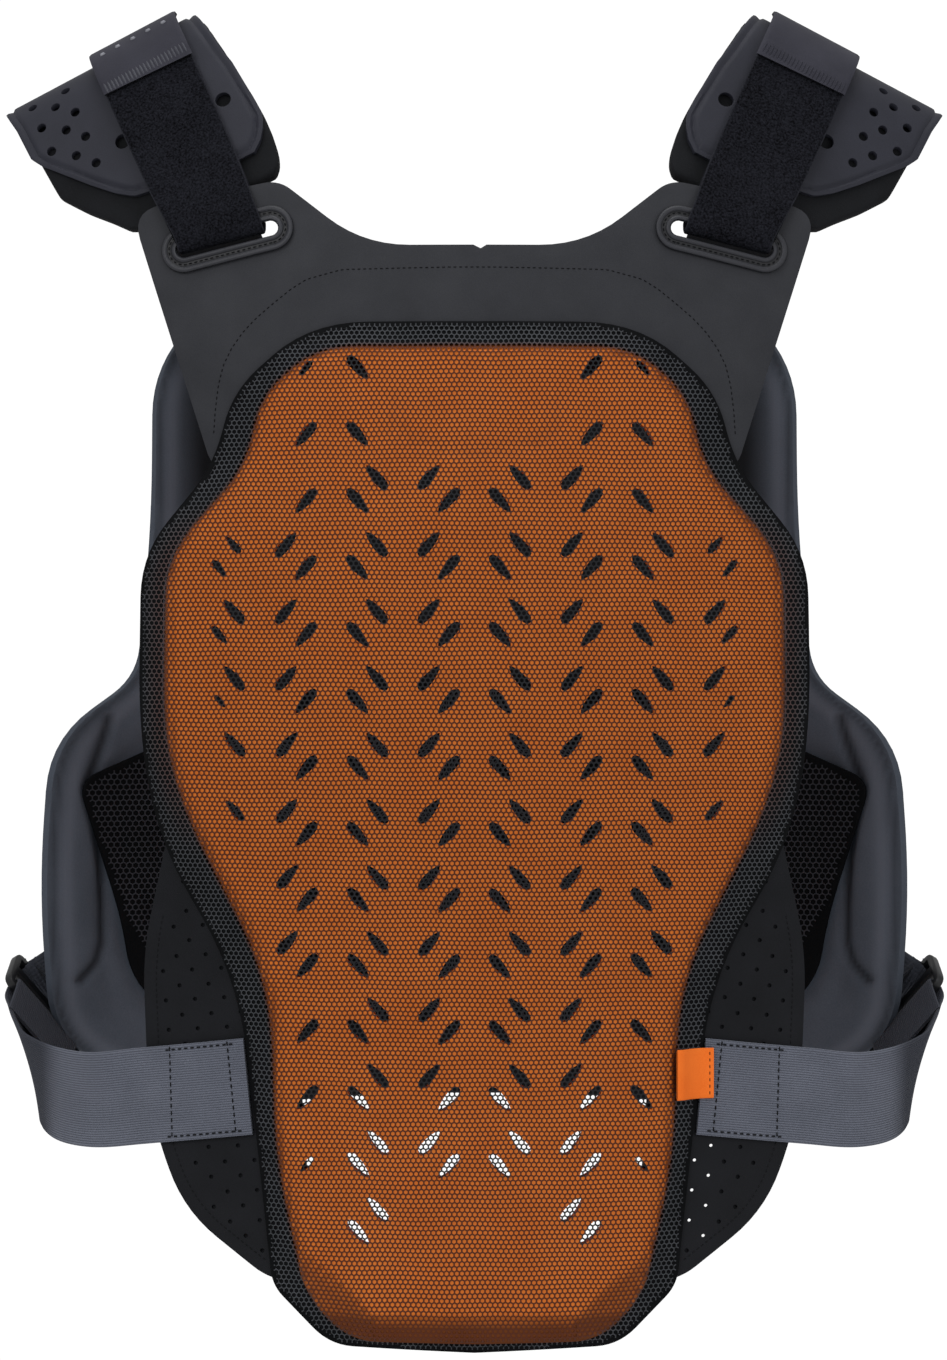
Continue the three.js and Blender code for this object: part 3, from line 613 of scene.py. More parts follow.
# Each column: x, z of row 0, first row, last row, the way it leans and the way its tips point.
VENT_COLUMNS = [(13.3, -161.6, 2, 12, 1, -1), (59, -161.6, 0, 13, -1, -1), (86, -161.6, 0, 12, 1, -1),
                (130, -161.6, 3, 5, -1, -1), (22.7, -217, 0, 10, 1, 1), (49.8, -217, 0, 11, -1, 1),
                (95.5, -217, 1, 7, 1, 1), (123, -217, 1, 5, -1, 1)]
# The vents that the edge leaves less room for, by x and row.
SMALL_VENTS = {(86, 0): 0.62, (86, 12): 0.62, (130, 3): 0.7, (130, 4): 0.75, (130, 5): 0.52,
               (123, 1): 0.7, (123, 5): 0.85}
LEAF = np.array([(0, 7.8), (1.1, 6.4), (2.0, 3.8), (2.6, 0.2), (2.8, -3.2), (2.4, -6.2), (1.2, -8.0),
                 (0, -8.4)])
LEAF = np.concatenate((LEAF, (LEAF * (-1, 1))[-2:0:-1]))
vents = []
for x, z, first, last, turn, tip in VENT_COLUMNS:
    for row in range(first, last + 1):
        size = SMALL_VENTS.get((x, row), 1.0)
        angle = turn * VENT_TILT
        a, b = LEAF[:, 0] * size, LEAF[:, 1] * tip * size
        leaf = np.stack((x + a * math.cos(angle) - b * math.sin(angle),
                         z - row * VENT_STEP + a * math.sin(angle) + b * math.cos(angle)), 1)
        vents += [leaf, leaf * (-1, 1)]
U_LINE = np.array([(-42, -178), (-41, -192), (-33, -201), (-18, -204), (18, -204), (33, -201), (41, -192),
                   (42, -178)])
BEVEL = np.array([(0, -644), (52, -644), (67.6, -629), (90.5, -611), (100, -596)])


def below_bevel(x, z):
    """How far a point lies below the line where the chamfer at the foot starts."""
    return np.maximum(0, np.interp(np.abs(x), *BEVEL.T) - z)


def insert_top(x, z, least=0.0):
    inside = np.clip(edge_distance(x, z, INSERT), least, INSERT_ROUND)
    rounding = INSERT_ROUND - np.sqrt(INSERT_ROUND ** 2 - (INSERT_ROUND - inside) ** 2)
    groove = 0.6 * np.exp(-(line_distance(x, z, U_LINE) / 3.5) ** 2)
    return INSERT_TOP - np.maximum(rounding, 0.5 * below_bevel(x, z)) - groove


insert = cut_sheet("insert", INSERT, 4.0, vents)
x, _, z = read_points(insert).T
drape(insert, on_back, INSERT_FOOT, insert_top)
# Painted shade: darker at the insert's rounded edge, on the chamfer at the foot and in the U groove under
# the collar.
edge_shade_width = 2.2 - 0.8 * ease(-z, 580, 615)
edge_shade = np.exp(-(np.maximum(0, edge_distance(x, z, INSERT)) / edge_shade_width) ** 2)
foot = ease(below_bevel(x, z), 0, 4) * (0.5 + 0.4 * ease(-z, 641, 647))
groove_shade = 0.16 * np.exp(-(line_distance(x, z, U_LINE) / 2.5) ** 2)
mark(insert, "edge", np.maximum(np.maximum(edge_shade, foot), groove_shade))
smooth(insert, 35)
declare(insert, INSERT_FOAM, "insert", "back_insert")
print("vents:", len(vents), "insert faces:", len(insert.data.polygons))

# %% [markdown]
# ## Net pocket
# A black net holds the insert. Its border is a sewn band that slopes from the insert's edge down to the
# yoke and the wings. The net itself is knitted in round meshes, so it is a plate of hexagonal holes:
# six corners for each hole, a strand between neighbours and a knot where three meet.


# %% Border and net
POCKET = outline([(0, -137), (84, -137, 30), (124, -172, 18), (134, -210, 18), (172, -255, 22),
                  (174, -350, 40), (162, -407, 30), (122, -475, 40), (104, -631, 8), (74, -660, 12),
                  (0, -663)])
HEM_HEIGHT = 4.2


def net_top(x, z):
    """The net lies on the insert and runs straight from its rounded edge down to the hem."""
    to_hem = np.maximum(0, edge_distance(x, z, POCKET))
    to_insert = np.maximum(0, 1.5 - edge_distance(x, z, INSERT))
    share = to_hem / (to_hem + to_insert + 1e-6)
    return HEM_HEIGHT + (insert_top(x, z, 1.5) - HEM_HEIGHT) * share + 0.4


def border_foot(x, z):
    return np.where(z < -600, INSERT_FOOT, np.maximum(INSERT_FOOT, net_top(x, z) - 2.2))


border = cut_sheet("pocket_border", POCKET, 4.0, [grown(INSERT, 0.2)])
drape(border, on_back, border_foot, lambda x, z: net_top(x, z) - 0.6)
smooth(border, 40)
declare(border, BORDER_CLOTH, "border", "mesh_border")


NET_LEFT, NET_FOOT, NET_WIDE, NET_HIGH = -250, -690, 500, 720


def hex_net(name, pitch, strand, inside, form):
    """A plate of hexagonal holes where `inside` is true, laid on a form; `strand` is the yarn's width."""
    row = pitch * math.sqrt(3) / 2
    rows, columns = np.mgrid[0:int(NET_HIGH / row), 0:int(NET_WIDE / pitch)]
    x = NET_LEFT + pitch * (columns + 0.5 * (rows % 2))
    z = NET_FOOT + row * rows
    kept = inside(x, z)
    number = np.full((kept.shape[0] + 1, kept.shape[1] + 1), -1)
    number[:-1, :-1][kept] = np.arange(kept.sum())
    r, c = rows[kept], columns[kept]
    corner = np.radians(30 + 60 * np.arange(6))
    radius = ((pitch - strand(x[kept], z[kept])) / 2 / math.cos(math.pi / 6))[:, None]
    px = x[kept][:, None] + radius * np.cos(corner)
    pz = z[kept][:, None] + radius * np.sin(corner)
    own = 6 * np.arange(len(r))
    east = 6 * number[r, c + 1]
    north_east, north_west = 6 * number[r + 1, c + r % 2], 6 * number[r + 1, c - 1 + r % 2]

    def join(*corners):
        """Faces between corners of neighbouring holes, where all those holes are there."""
        there = np.all([hole >= 0 for hole, _ in corners], axis=0)
        return np.stack([hole + corner for hole, corner in corners], 1)[there].tolist()

    faces = join((own, 0), (own, 5), (east, 3), (east, 2))
    faces += join((own, 1), (own, 0), (north_east, 4), (north_east, 3))
    faces += join((own, 2), (own, 1), (north_west, 5), (north_west, 4))
    faces += join((own, 0), (east, 2), (north_east, 4))
    faces += join((own, 1), (north_east, 3), (north_west, 5))
    piece = from_arrays(name, form(px.ravel(), pz.ravel()).tolist(), faces)
    cover = 1 - float(np.mean(1.5 * math.sqrt(3) * radius ** 2)) / (pitch * row)
    return piece, cover


def sway(x, z):
    """Yarn is never quite even: a slow drift of a tenth of a millimetre or two."""
    return x + 0.22 * np.sin(z / 9.0) * np.sin(x / 13.0), z + 0.18 * np.sin(x / 7.0 + z / 17.0)


LEAF_REACH = 10


def in_vents(x, z):
    inside = np.zeros_like(x)
    for leaf in vents:
        near = np.hypot(x - leaf[:, 0].mean(), z - leaf[:, 1].mean()) < LEAF_REACH
        inside[near] = np.maximum(inside[near], edge_distance(x[near], z[near], leaf) > 0)
    return inside


def yarn_width(x, z):
    """Thin yarn on the border, wider over the insert."""
    return 0.56 + 0.24 * ease(edge_distance(x, z, INSERT), -2, 2)


net, net_cover = hex_net("pocket_net", 2.62, yarn_width, lambda x, z: edge_distance(x, z, POCKET) > 1.0,
                         lambda x, z: on_back(*sway(x, z), net_top(x, z)))
x, z = read_points(net)[:, (0, 2)].T / MM
open_yarn = in_vents(x, z)
on_insert = edge_distance(x, z, INSERT)
# Painted orange bounce light on the yarn over the insert, and more weakly on the border net at the sides
# where the insert's side lies beneath it.
side_bounce = 0.4 * ease(on_insert, -12, -1) * ease(-z, 225, 260) * (1 - ease(-z, 370, 420))
mark(net, "over", np.maximum(ease(on_insert, -1.5, 2.5), side_bounce) * (1 - open_yarn))
# Painted shade on the yarn across the vents.
mark(net, "vent", open_yarn)
declare(net, NET_YARN, "border")
hem = np.concatenate((grown(POCKET, -3.0), grown(POCKET, -3.0)[:1]))
hem_path, hem_up = back_line(hem, 0.0)
hem_path[:, 1] -= net_top(*hem_path[:, (0, 2)].T / MM) * MM
stitches("pocket_hem", hem_path, hem_up, "border", length=2.4, gap=1.2, width=0.7)
print("net meshes cover", round(net_cover, 2), "faces:", len(net.data.polygons))

# %% [markdown]
# ## Side wings
# Black coated sheets come out under the pocket at the waist. They are perforated on a slanted grid with
# a hole in each square's middle, and hemmed along the outer edge. Most holes are blind; only a few at
# the foot of the right wing go right through.

# %% Wings with perforations
WING = outline([(138, -398), (159, -400, 6), (173, -462, 22), (170, -545, 35), (151, -595, 22),
                (106, -628, 10), (82, -630, 6), (92, -490, 25), (126, -430, 15)], both=False)
ring = np.stack((np.cos(np.arange(12) * np.pi / 6), np.sin(np.arange(12) * np.pi / 6)), 1)
holes = []
for i in range(-8, 9):
    for j in range(-12, 13):
        for shift in (0, 1):
            x = 148 - 15.5 * i - 1.45 * j - 8.7 * shift
            z = -455 + 1.26 * i - 15.3 * j - 7.2 * shift
            holes.append((x, z))
holes = np.array(holes)
holes = holes[edge_distance(*holes.T, WING) > 9]


def perforated(name, pierced):
    """A wing whose holes go right through where `pierced` is true, and are blind elsewhere."""
    piece = cut_sheet(name, WING, 5.0)
    for chosen, depth, radius in ((pierced, 2 * SLAB, 0.85), (~pierced, 0.8 * SLAB, 1.15)):
        if chosen.any():
            cut(piece, prisms([centre + radius * ring for centre in holes[chosen]], depth))
    drape(piece, on_back, 0.0, 2.0)
    soften(piece, 0.3)
    smooth(piece)
    return piece


wing = perforated("wing_r", (holes[:, 0] < 124) & (holes[:, 1] < -560) & (holes[:, 1] > -612))
wing_left = perforated("wing_l", holes[:, 0] < 0)
mirror(wing_left)
wing_hem = grown(WING, -6.5)
wing_hem = wing_hem[(wing_hem[:, 0] > 100) & (edge_distance(*wing_hem.T, POCKET) < -2)]
path, up = back_line(wing_hem, 2.1)
for piece, side, node in ((wing, 1, "side_wing_right"), (wing_left, -1, "side_wing_left")):
    declare(piece, WING_SHEET, "wing", node)
    stitches(piece.name + "_hem", path * (side, 1, 1), up * (side, 1, 1), "wing", length=2.0, gap=1.0,
             width=0.6)
print("wing holes:", len(holes))

# %% [markdown]
# ## Straps
# A strap is flat webbing, so it is modelled directly: a closed section, ribbed where the weave has ribs,
# carried through stations along its way. A smooth curve runs through the stations, and the distance
# along the strap is kept as an attribute for the weave's cross lines.

# %% Ribbons through stations
CURVE_STEPS = 14


def curve_through(stations, count):
    """Points of a smooth curve through the stations, evenly spread along it."""
    stations = np.array(stations, float)
    ends = np.concatenate((2 * stations[:1] - stations[1:2], stations, 2 * stations[-1:] - stations[-2:-1]))
    fine = []
    for a, b, c, d in zip(ends, ends[1:], ends[2:], ends[3:]):
        near = 0.5 * np.linalg.norm((c - b)[:3])
        lead = (c - a) / (np.linalg.norm((c - a)[:3]) + 1e-9) * near * 2
        trail = (d - b) / (np.linalg.norm((d - b)[:3]) + 1e-9) * near * 2
        for s in np.linspace(0, 1, CURVE_STEPS, endpoint=False):
            fine.append((2 * s ** 3 - 3 * s ** 2 + 1) * b + (s ** 3 - 2 * s ** 2 + s) * lead
                        + (3 * s ** 2 - 2 * s ** 3) * c + (s ** 3 - s ** 2) * trail)
    fine = np.array(fine + [stations[-1]])
    gone = gone_along(fine[:, :3])
    at = np.linspace(0, gone[-1], count)
    return sampled(fine, gone, at), at


STRAP_WIDE, STRAP_THICK = 50, 1.6


def ribbon(name, points, across, columns, step, width=STRAP_WIDE, thick=STRAP_THICK, rib=None, narrow=None,
           askew=False):
    """A strap through stations in mm; `rib` adds to its half thickness, `narrow` scales its width."""
    rows = int(gone_along(points)[-1] / step)
    path, gone = curve_through(np.concatenate((points, across), 1), rows + 1)
    centre, side = path[:, :3], path[:, 3:]
    ahead = unit(np.gradient(centre, axis=0))
    if not askew:
        side = side - ahead * np.sum(side * ahead, 1)[:, None]
    side = unit(side)
    up = unit(np.cross(side, ahead))
    piece = flat_grid(name, 2 * columns, rows)
    u, v, _ = read_points(piece).T + 0.5
    row = np.rint(v * rows).astype(int)
    place = np.rint(u * 2 * columns).astype(int)
    top = place <= columns
    w = np.where(top, place, 2 * columns - place) / columns * 2 - 1
    margin = (1 - np.abs(w)) * width / 2
    half = thick / 2 * (1 - 0.6 * np.exp(-margin / 0.35))
    if rib:
        ribs = rib(w)
        half = half + ribs * np.minimum(1, margin / 0.8)
        # Painted shade in the grooves between the ribs, used by the elastic's finish.
        mark(piece, "groove", np.clip(-ribs * 10, 0, 1))
    height = np.where(top, half, -half)
    wide = w * width / 2
    if narrow:
        wide = wide * narrow(gone[row] / gone[-1])
    write_points(piece, (centre[row] + side[row] * wide[:, None] + up[row] * height[:, None]) * MM)
    mark(piece, "along", gone[row])
    mark(piece, "selvedge", (np.abs(w) > 0.98).astype(float))
    edit(piece, weld)
    edit(piece, lambda: bpy.ops.mesh.fill_holes(sides=0), outward)
    smooth(piece, 50)
    return piece, path, up


def path_length(path):
    return float(gone_along(path[:, :3])[-1])


SEAM_STEPS = 60


def seam_on(path, up, width, across, start, end, lift):
    """A seam on a ribbon: across from -1 to 1, from start to end along it as shares."""
    rows = np.linspace(start, end, SEAM_STEPS) * (len(path) - 1)
    numbers = np.arange(len(path))
    middle, side, normal = (sampled(table, numbers, rows) for table in (path[:, :3], path[:, 3:], up))
    w = np.linspace(*across, SEAM_STEPS)[:, None]
    return (middle + side * w * width / 2 + normal * lift) * MM, normal


# %% [markdown]
# The shoulder strap is brushed loop webbing. It lies on the shoulder guard, dives through the yoke's slot
# and comes back over itself, so both layers belong to one ribbon.


# %% Shoulder straps
def strap_middle(t):
    return 74.9 - 0.056 * np.asarray(t, float)


slot_at = on_back(SLOT["x"], SLOT["z"], 0.0) / MM
tangents = []
for dx, dz in ((-math.cos(SLOT_TILT), math.sin(SLOT_TILT)), (-math.sin(SLOT_TILT), -math.cos(SLOT_TILT))):
    way = on_back(SLOT["x"] + dx, SLOT["z"] + dz, 0.0) / MM - slot_at
    tangents.append(unit(way))
slot_along, slot_down = tangents
slot_out = unit(np.cross(slot_along, slot_down))
slot_out *= -np.sign(slot_out[1])
# The way through the slot, down the back and out of it, and the two legs, along the ridge and above it.
SLOT_PATH = [(-6, -4.6), (-1.2, -2.6), (1, -0.4), (1.4, 1.6), (0.8, 3.6), (-1.4, 5.4), (-4.5, 5.8)]
INNER_LEG = [(t, 1.6) for t in (11, 22, 34, 46, 60, 84, 103, 113)] + [(118, -1.6), (132, -4.4)]
OUTER_LEG = [(138, 5.7), (130, 5.3), (120, 4.7), (108, 4.0)]
OUTER_LEG += [(t, 3.6) for t in (96, 84, 60, 46, 34, 22, 11)]


def on_guard(leg):
    """A leg's places and its directions across, which turn from the ridge's to the slot's."""
    t, h = np.array(leg, float).T
    share = np.clip((t - 46) / 102, 0, 1)[:, None]
    return on_shoulder(strap_middle(t), t, h) / MM, ALONG_RIDGE * (1 - share) + slot_along * share


through = np.array([slot_at - 2.6 * slot_along + slot_down * d + slot_out * n for d, n in SLOT_PATH])
inner, inner_across = on_guard(INNER_LEG)
outer, outer_across = on_guard(OUTER_LEG)
strap_points = np.concatenate((inner, through, outer))
strap_across = np.concatenate((inner_across, np.tile(slot_along, (len(through), 1)), outer_across))
pile = np.random.default_rng(7)


def brushed(w):
    return 0.16 * pile.random(len(w))


def squeezed(share):
    """The webbing draws in by a few millimetres where it goes through the slot."""
    return 1 - 0.08 * np.exp(-((share - 0.51) / 0.1) ** 2)


strap, strap_path, _ = ribbon("shoulder_strap_r", strap_points, strap_across, 60, 1.6, rib=brushed,
                              narrow=squeezed, askew=True)
for piece, _, node in two_sides(strap, "shoulder_strap"):
    declare(piece, LOOP_PILE, "loop", node)

# %% [markdown]
# The end of each strap is folded into a smooth tab on top of the shoulder, closed by a band of short
# parallel stitches along its edge.

# %% End tabs
TAB_WIDE, TAB_STATIONS = 51, 9
tab_t = np.linspace(-7, 47, TAB_STATIONS)
tab, tab_path, tab_up = ribbon("end_tab_r", on_shoulder(strap_middle(tab_t), tab_t, 5.8) / MM,
                               np.tile(ALONG_RIDGE, (TAB_STATIONS, 1)), 40, 1.2, TAB_WIDE)
band_seam = seam_on(tab_path, tab_up, TAB_WIDE, (-0.95, 0.95), 0.93, 0.93, 0.8)
rib_places, rib_side, rib_up = walk(*band_seam, 2.1 * MM)
band_rows = rib_places, unit(np.cross(rib_side, rib_up)), rib_up
for piece, side, node in two_sides(tab, "strap_end_tab"):
    declare(piece, TAB_CLOTH, "loop", node)
    side_rows = [rows * (side, 1, 1) for rows in band_rows]
    band = spindles(piece.name + "_band", *side_rows, 7.0 * MM, 1.1 * MM)
    declare(band, GREY_THREAD if side < 0 else TAB_CLOTH, "loop")
dot_seam = seam_on(tab_path, tab_up, TAB_WIDE, (-0.88, 0.88), 0.5, 0.5, 0.9)
dot_rows = [rows * (-1, 1, 1) for rows in walk(*dot_seam, 9.0 * MM)]
dots = spindles("end_tab_l_dots", *dot_rows, 3.2 * MM, 2.2 * MM)
declare(dots, PALE_THREAD, "loop")
print("stitches in a tab's band:", len(rib_places))

# %% [markdown]
# The waist straps are ribbed elastic. They are sewn to the wings with a box of dark stitches, run free
# round the side and loop through the buckle.

# %% Waist straps
BUCKLE_AT = np.array((233.5, 58.5, -497))
BUCKLE_RUN = unit(np.array((-0.11, 0.86, 0.49)))
BUCKLE_OUT = unit(np.cross(BUCKLE_RUN, (0.6, -0.35, 0.72)))
BUCKLE_WIDE = np.cross(BUCKLE_OUT, BUCKLE_RUN)


def on_buckle(places):
    """Places from the buckle's own directions: along its run and out of its face."""
    return np.array([BUCKLE_AT + BUCKLE_RUN * run + BUCKLE_OUT * out for run, out in places])


def bar_loop(sign):
    """The way of a strap over one bar, round its inner edge and back under it."""
    edge = sign * 9.5
    inside = edge - sign * 1.6
    return [(edge + sign * 8, 3.85), (edge + sign * 2, 3.85), (edge - sign * 0.4, 3.45), (inside, 2.05),
            (inside, -2.05), (edge - sign * 0.4, -3.45), (edge + sign * 2, -3.85)]


SEWN_FROM, SEWN_TO, SEWN_DROP, SEWN_HEIGHT = 117.0, 172, 0.12, 4.4
sewn_x = np.linspace(SEWN_FROM, SEWN_TO, 5)
sewn_z = -530 - SEWN_DROP * (sewn_x - SEWN_FROM)
sewn = on_back(sewn_x, sewn_z, SEWN_HEIGHT) / MM
sewn_across = on_back(sewn_x + SEWN_DROP * np.linspace(1, 0, 5), sewn_z + 1, SEWN_HEIGHT) / MM - sewn
# Stations of the free loop: a place and the direction across the strap there.
FREE = np.array([(200, -46, -540, 0.08, 0, 1), (220, -30, -538, 0.13, 0, 1),
                 (233, -9, -532, 0.2, -0.04, 0.97), (238, 13, -523, 0.3, -0.14, 0.9)])
on_bars = on_buckle([(-27.5, 3.85)] + bar_loop(-1) + [(-37.5, -3.85)])
waist_points = np.concatenate((sewn, FREE[:, :3], on_bars))
bar_across = np.tile(BUCKLE_WIDE, (len(on_bars), 1))
bar_across[0] = (BUCKLE_WIDE + FREE[-1, 3:]) / 2
waist_across = unit(np.concatenate((sewn_across, FREE[:, 3:], bar_across)))


def ribbed(w):
    return 0.17 * np.cos(w * 20 * 2 * np.pi)


waist, waist_path, waist_up = ribbon("waist_strap_r", waist_points, waist_across, 160, 2.5, rib=ribbed)
along = np.empty(len(waist.data.vertices), np.float32)
waist.data.attributes["along"].data.foreach_get("value", along)
# Painted shade on the strap's end past its turn at the buckle.
mark(waist, "turned", ease(along, 112, 134))
waist_out = waist_up * (1 if waist_up[0][1] < 0 else -1)
waist_length = path_length(waist_path)
box_seams = []
for at in (9.0, 44.0):
    share = at / waist_length
    box_seams.append(seam_on(waist_path, waist_out, STRAP_WIDE, (-0.93, 0.93), share, share, 1.0))
for across in (-0.9, 0.9):
    box_seams.append(seam_on(waist_path, waist_out, STRAP_WIDE, (across, across), 5 / waist_length,
                             46 / waist_length, 1.0))
for piece, side, node in two_sides(waist, "waist_strap"):
    declare(piece, ELASTIC, "elastic", node)
    for i, (path, up) in enumerate(box_seams):
        stitches(f"{piece.name}_seam{i}", path * (side, 1, 1), up * (side, 1, 1), "elastic", length=2.6,
                 gap=1.1, width=0.8)
print("waist strap length:", round(waist_length))

# %% [markdown]
# ## Buckles
# The frame buckle is moulded plastic. The CAD frame has the right form, so a copy of it is welded, its
# flat faces are joined and its edges are rounded, and ribs that grip the strap are set on the bars.

# %% Buckles and their webbing
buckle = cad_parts["waist_buckle_right"].copy()
buckle.data = buckle.data.copy()
buckle.name = buckle.data.name = "buckle_r"
buckle.parent = None
bpy.context.scene.collection.objects.link(buckle)
edit(buckle, weld, lambda: bpy.ops.mesh.dissolve_limited(angle_limit=math.radians(2)), outward)
soften(buckle, 1.1, 3)
grips = []
for out in (2.3, -2.3):
    for run in (-11.5, 11.5):
        for wide in np.linspace(-24, 24, 17):
            grips.append(BUCKLE_AT + BUCKLE_RUN * run + BUCKLE_WIDE * wide + BUCKLE_OUT * out)
runs, outs = (np.tile(way, (len(grips), 1)) for way in (BUCKLE_RUN, BUCKLE_OUT))
grip = spindles("grip", np.array(grips) * MM, runs, outs, 4.6 * MM, 1.1 * MM)
alone(buckle)
grip.select_set(True)
bpy.ops.object.join()
smooth(buckle, 35)
for piece, _, node in two_sides(buckle, "waist_buckle"):
    declare(piece, PLASTIC, "plastic", node)

WEB_PATH = [(63, -478), (57, -470), (49, -460)]
web_end, web_across = [], []
for degrees, z in WEB_PATH:
    half, depth = front_size(z)
    angle = math.radians(degrees)
    normal = unit(np.array((math.sin(angle) / half, math.cos(angle) / depth, 0)))
    on_chest = np.array((half * math.sin(angle), depth * math.cos(angle), z))
    web_end.append(on_chest + 9 * normal - 9 * BUCKLE_WIDE)
    web_across.append(unit(BUCKLE_WIDE - normal * np.dot(BUCKLE_WIDE, normal)))
loop = on_buckle(bar_loop(1)) - BUCKLE_WIDE * np.linspace(0, 3, 7)[:, None]
web_points = np.concatenate((loop, web_end))
web_across = np.concatenate((np.tile(BUCKLE_WIDE, (len(loop), 1)), web_across))
webbing, web_path, _ = ribbon("webbing_r", web_points, web_across, 88, 2.0,
                              rib=lambda w: 0.14 * np.cos(w * 11 * 2 * np.pi))
for piece, _, node in two_sides(webbing, "buckle_webbing"):
    declare(piece, WEBBING, "elastic", node)

# %% [markdown]
# ## Shoulder guards
# The caps are moulded foam with a rolled lip, a groove inside the lip and a raised body. They are
# pierced by a few round holes, larger ones beside the strap.

# %% Guards
# Sections of the cap: the distance t from the ridge, and where it starts and ends along the ridge.
GUARD = np.array([(114, 90, 102), (109, 62, 108), (103, 36, 112), (96, 28, 115), (84, 18, 115),
                  (60, 0, 114), (54, -3, 113), (46, -3, 112), (34, -3, 111), (22, -4, 110),
                  (11, -4.5, 109), (0, -4.5, 109), (-11, -4.5, 109), (-24, -3, 108), (-36, -2, 108),
                  (-48, -2, 107), (-60, 7, 106), (-80, 26, 103), (-90, 50, 96)], float)[::-1]


def section_line(sections):
    """The closed outline, in u and t, of a piece given by sections."""
    return np.concatenate((sections[:, (1, 0)], sections[::-1][:, (2, 0)]))


def section_grid(name, sections, across, along):
    """A grid inside that outline, with the pattern's u and t of each point."""
    piece = flat_grid(name, across, along)
    s, v, _ = read_points(piece).T + 0.5
    t = sections[0, 0] + v * (sections[-1, 0] - sections[0, 0])
    start, end = sampled(sections[:, 1:], sections[:, 0], t).T
    return piece, start + s * (end - start), t


def guard_relief(u, t):
    """A bead along the edge, a groove inside it and the raised body."""
    inside = np.maximum(0, edge_distance(u, t, section_line(GUARD)))
    bead = 0.5 * np.exp(-((inside - 1.9) / 0.8) ** 2)
    groove = 0.8 * np.exp(-((inside - 3.6) / 0.9) ** 2)
    return bead - groove + 0.8 * ease(inside, 3.6, 6.0)


guard, u, t = section_grid("guard_r", GUARD, 84, 132)
write_points(guard, on_shoulder(u, t, guard_relief(u, t) - 0.7))
apply_modifier(guard, "SOLIDIFY", thickness=3.2 * MM)
DIMPLES = [(21.5, 6), (29.5, 23), (10, 22), (21, 32), (29, 42), (9.5, 40.5), (20.5, 49), (28, 58),
           (8.5, 56), (19, 65.5), (26.5, 75)]
round_holes = [(u, t, 2.6) for u, t in DIMPLES] + [(44, 71.5, 4.2), (100.5, 78, 4.2)]
ROD_SIDES, ROD_REACH = 20, 9 * MM


def rod(u, t, radius):
    """The two rings of a rod that stands through the guard."""
    centre = on_shoulder(u, t, 0.0)
    a = unit(on_shoulder(u + 1, t, 0.0) - centre)
    out = unit(on_shoulder(u, t, 1.0) - centre)
    turns = np.arange(ROD_SIDES)[:, None] * 2 * np.pi / ROD_SIDES
    circle = centre + (np.cos(turns) * a + np.sin(turns) * np.cross(out, a)) * radius * MM
    return (circle - out * ROD_REACH).tolist(), (circle + out * ROD_REACH).tolist()


cut(guard, cutter([rod(*hole) for hole in round_holes]))
soften(guard, 0.7, 2, 55)
smooth(guard, 40)
for piece, _, node in two_sides(guard, "shoulder_guard"):
    declare(piece, GUARD_SKIN, "guard", node)
print("guard faces:", len(guard.data.polygons))

# %% [markdown]
# ## Shoulder pads
# Under each cap lies a soft pad. A grid in the pad's shape is laid on the shoulder and thickened to a
# slab. A cloth simulation with a little pressure inside blows it up, so its edge rounds as stuffed cloth
# does. The movement is capped, and one subdivision smooths the result.

# %% Pads
PAD = np.array([(130, 86, 105), (126, 54, 110), (119, 26, 113), (107, 18, 115), (95, 9, 116),
                (80, 0, 116), (46, -1, 114), (34, -1, 113), (22, -1, 112), (11, -1, 112), (0, -1, 112),
                (-11, -1, 111), (-22, -1, 111), (-32, -1, 110), (-42, -1, 110), (-66, 0, 109),
                (-90, 16, 100), (-120, 34, 90), (-190, 42, 82)], float)[::-1]
PUFF_FRAMES, PUFF_LIMIT = 15, 1.6 * MM
pad, u, t = section_grid("pad_r", PAD, 30, 84)
write_points(pad, on_shoulder(u, t, -5.4))
apply_modifier(pad, "SOLIDIFY", thickness=8.0 * MM)
before = read_points(pad)
cloth = pad.modifiers.new("cloth", "CLOTH")
cloth.settings.use_pressure = True
cloth.settings.uniform_pressure_force = 4.0
cloth.settings.effector_weights.gravity = 0
for moment in range(1, PUFF_FRAMES + 1):
    bpy.context.scene.frame_set(moment)
alone(pad)
bpy.ops.object.modifier_apply(modifier="cloth")
bpy.context.scene.frame_set(1)
moved = read_points(pad) - before
size = np.linalg.norm(moved, axis=1)[:, None] + 1e-9
write_points(pad, before + moved / size * np.minimum(size, PUFF_LIMIT))
apply_modifier(pad, "SUBSURF", levels=1, render_levels=1)
smooth(pad, 60)
for piece, _, node in two_sides(pad, "shoulder_pad"):
    declare(piece, PAD_CLOTH, "pad", node)
print("pad faces:", len(pad.data.polygons))

# %% [markdown]
# ## Chest panel and lining
# The chest panel is moulded foam, seen here from its inside: a rolled edge, a padded band along it
# and a crease where the band ends. The relief follows the distance from the edge, so the sheet is
# cut flat with a fine grid and raised as it is laid on the chest.

# %% Chest panel
PANEL = outline([(0, -150), (58, -150, 34), (84, -97, 12), (140, -104, 16), (177, -150, 25),
                 (178, -240, 40), (186, -318, 16), (231, -352, 28), (237, -430, 40), (231, -514, 26),
                 (165, -558, 40), (60, -549, 40), (0, -549)])
CREASE = np.array([(203.7, -341), (208, -355), (217, -379), (212, -397), (208.7, -416), (207.3, -443),
                   (207.3, -463), (210.9, -473.5), (219.8, -483)])


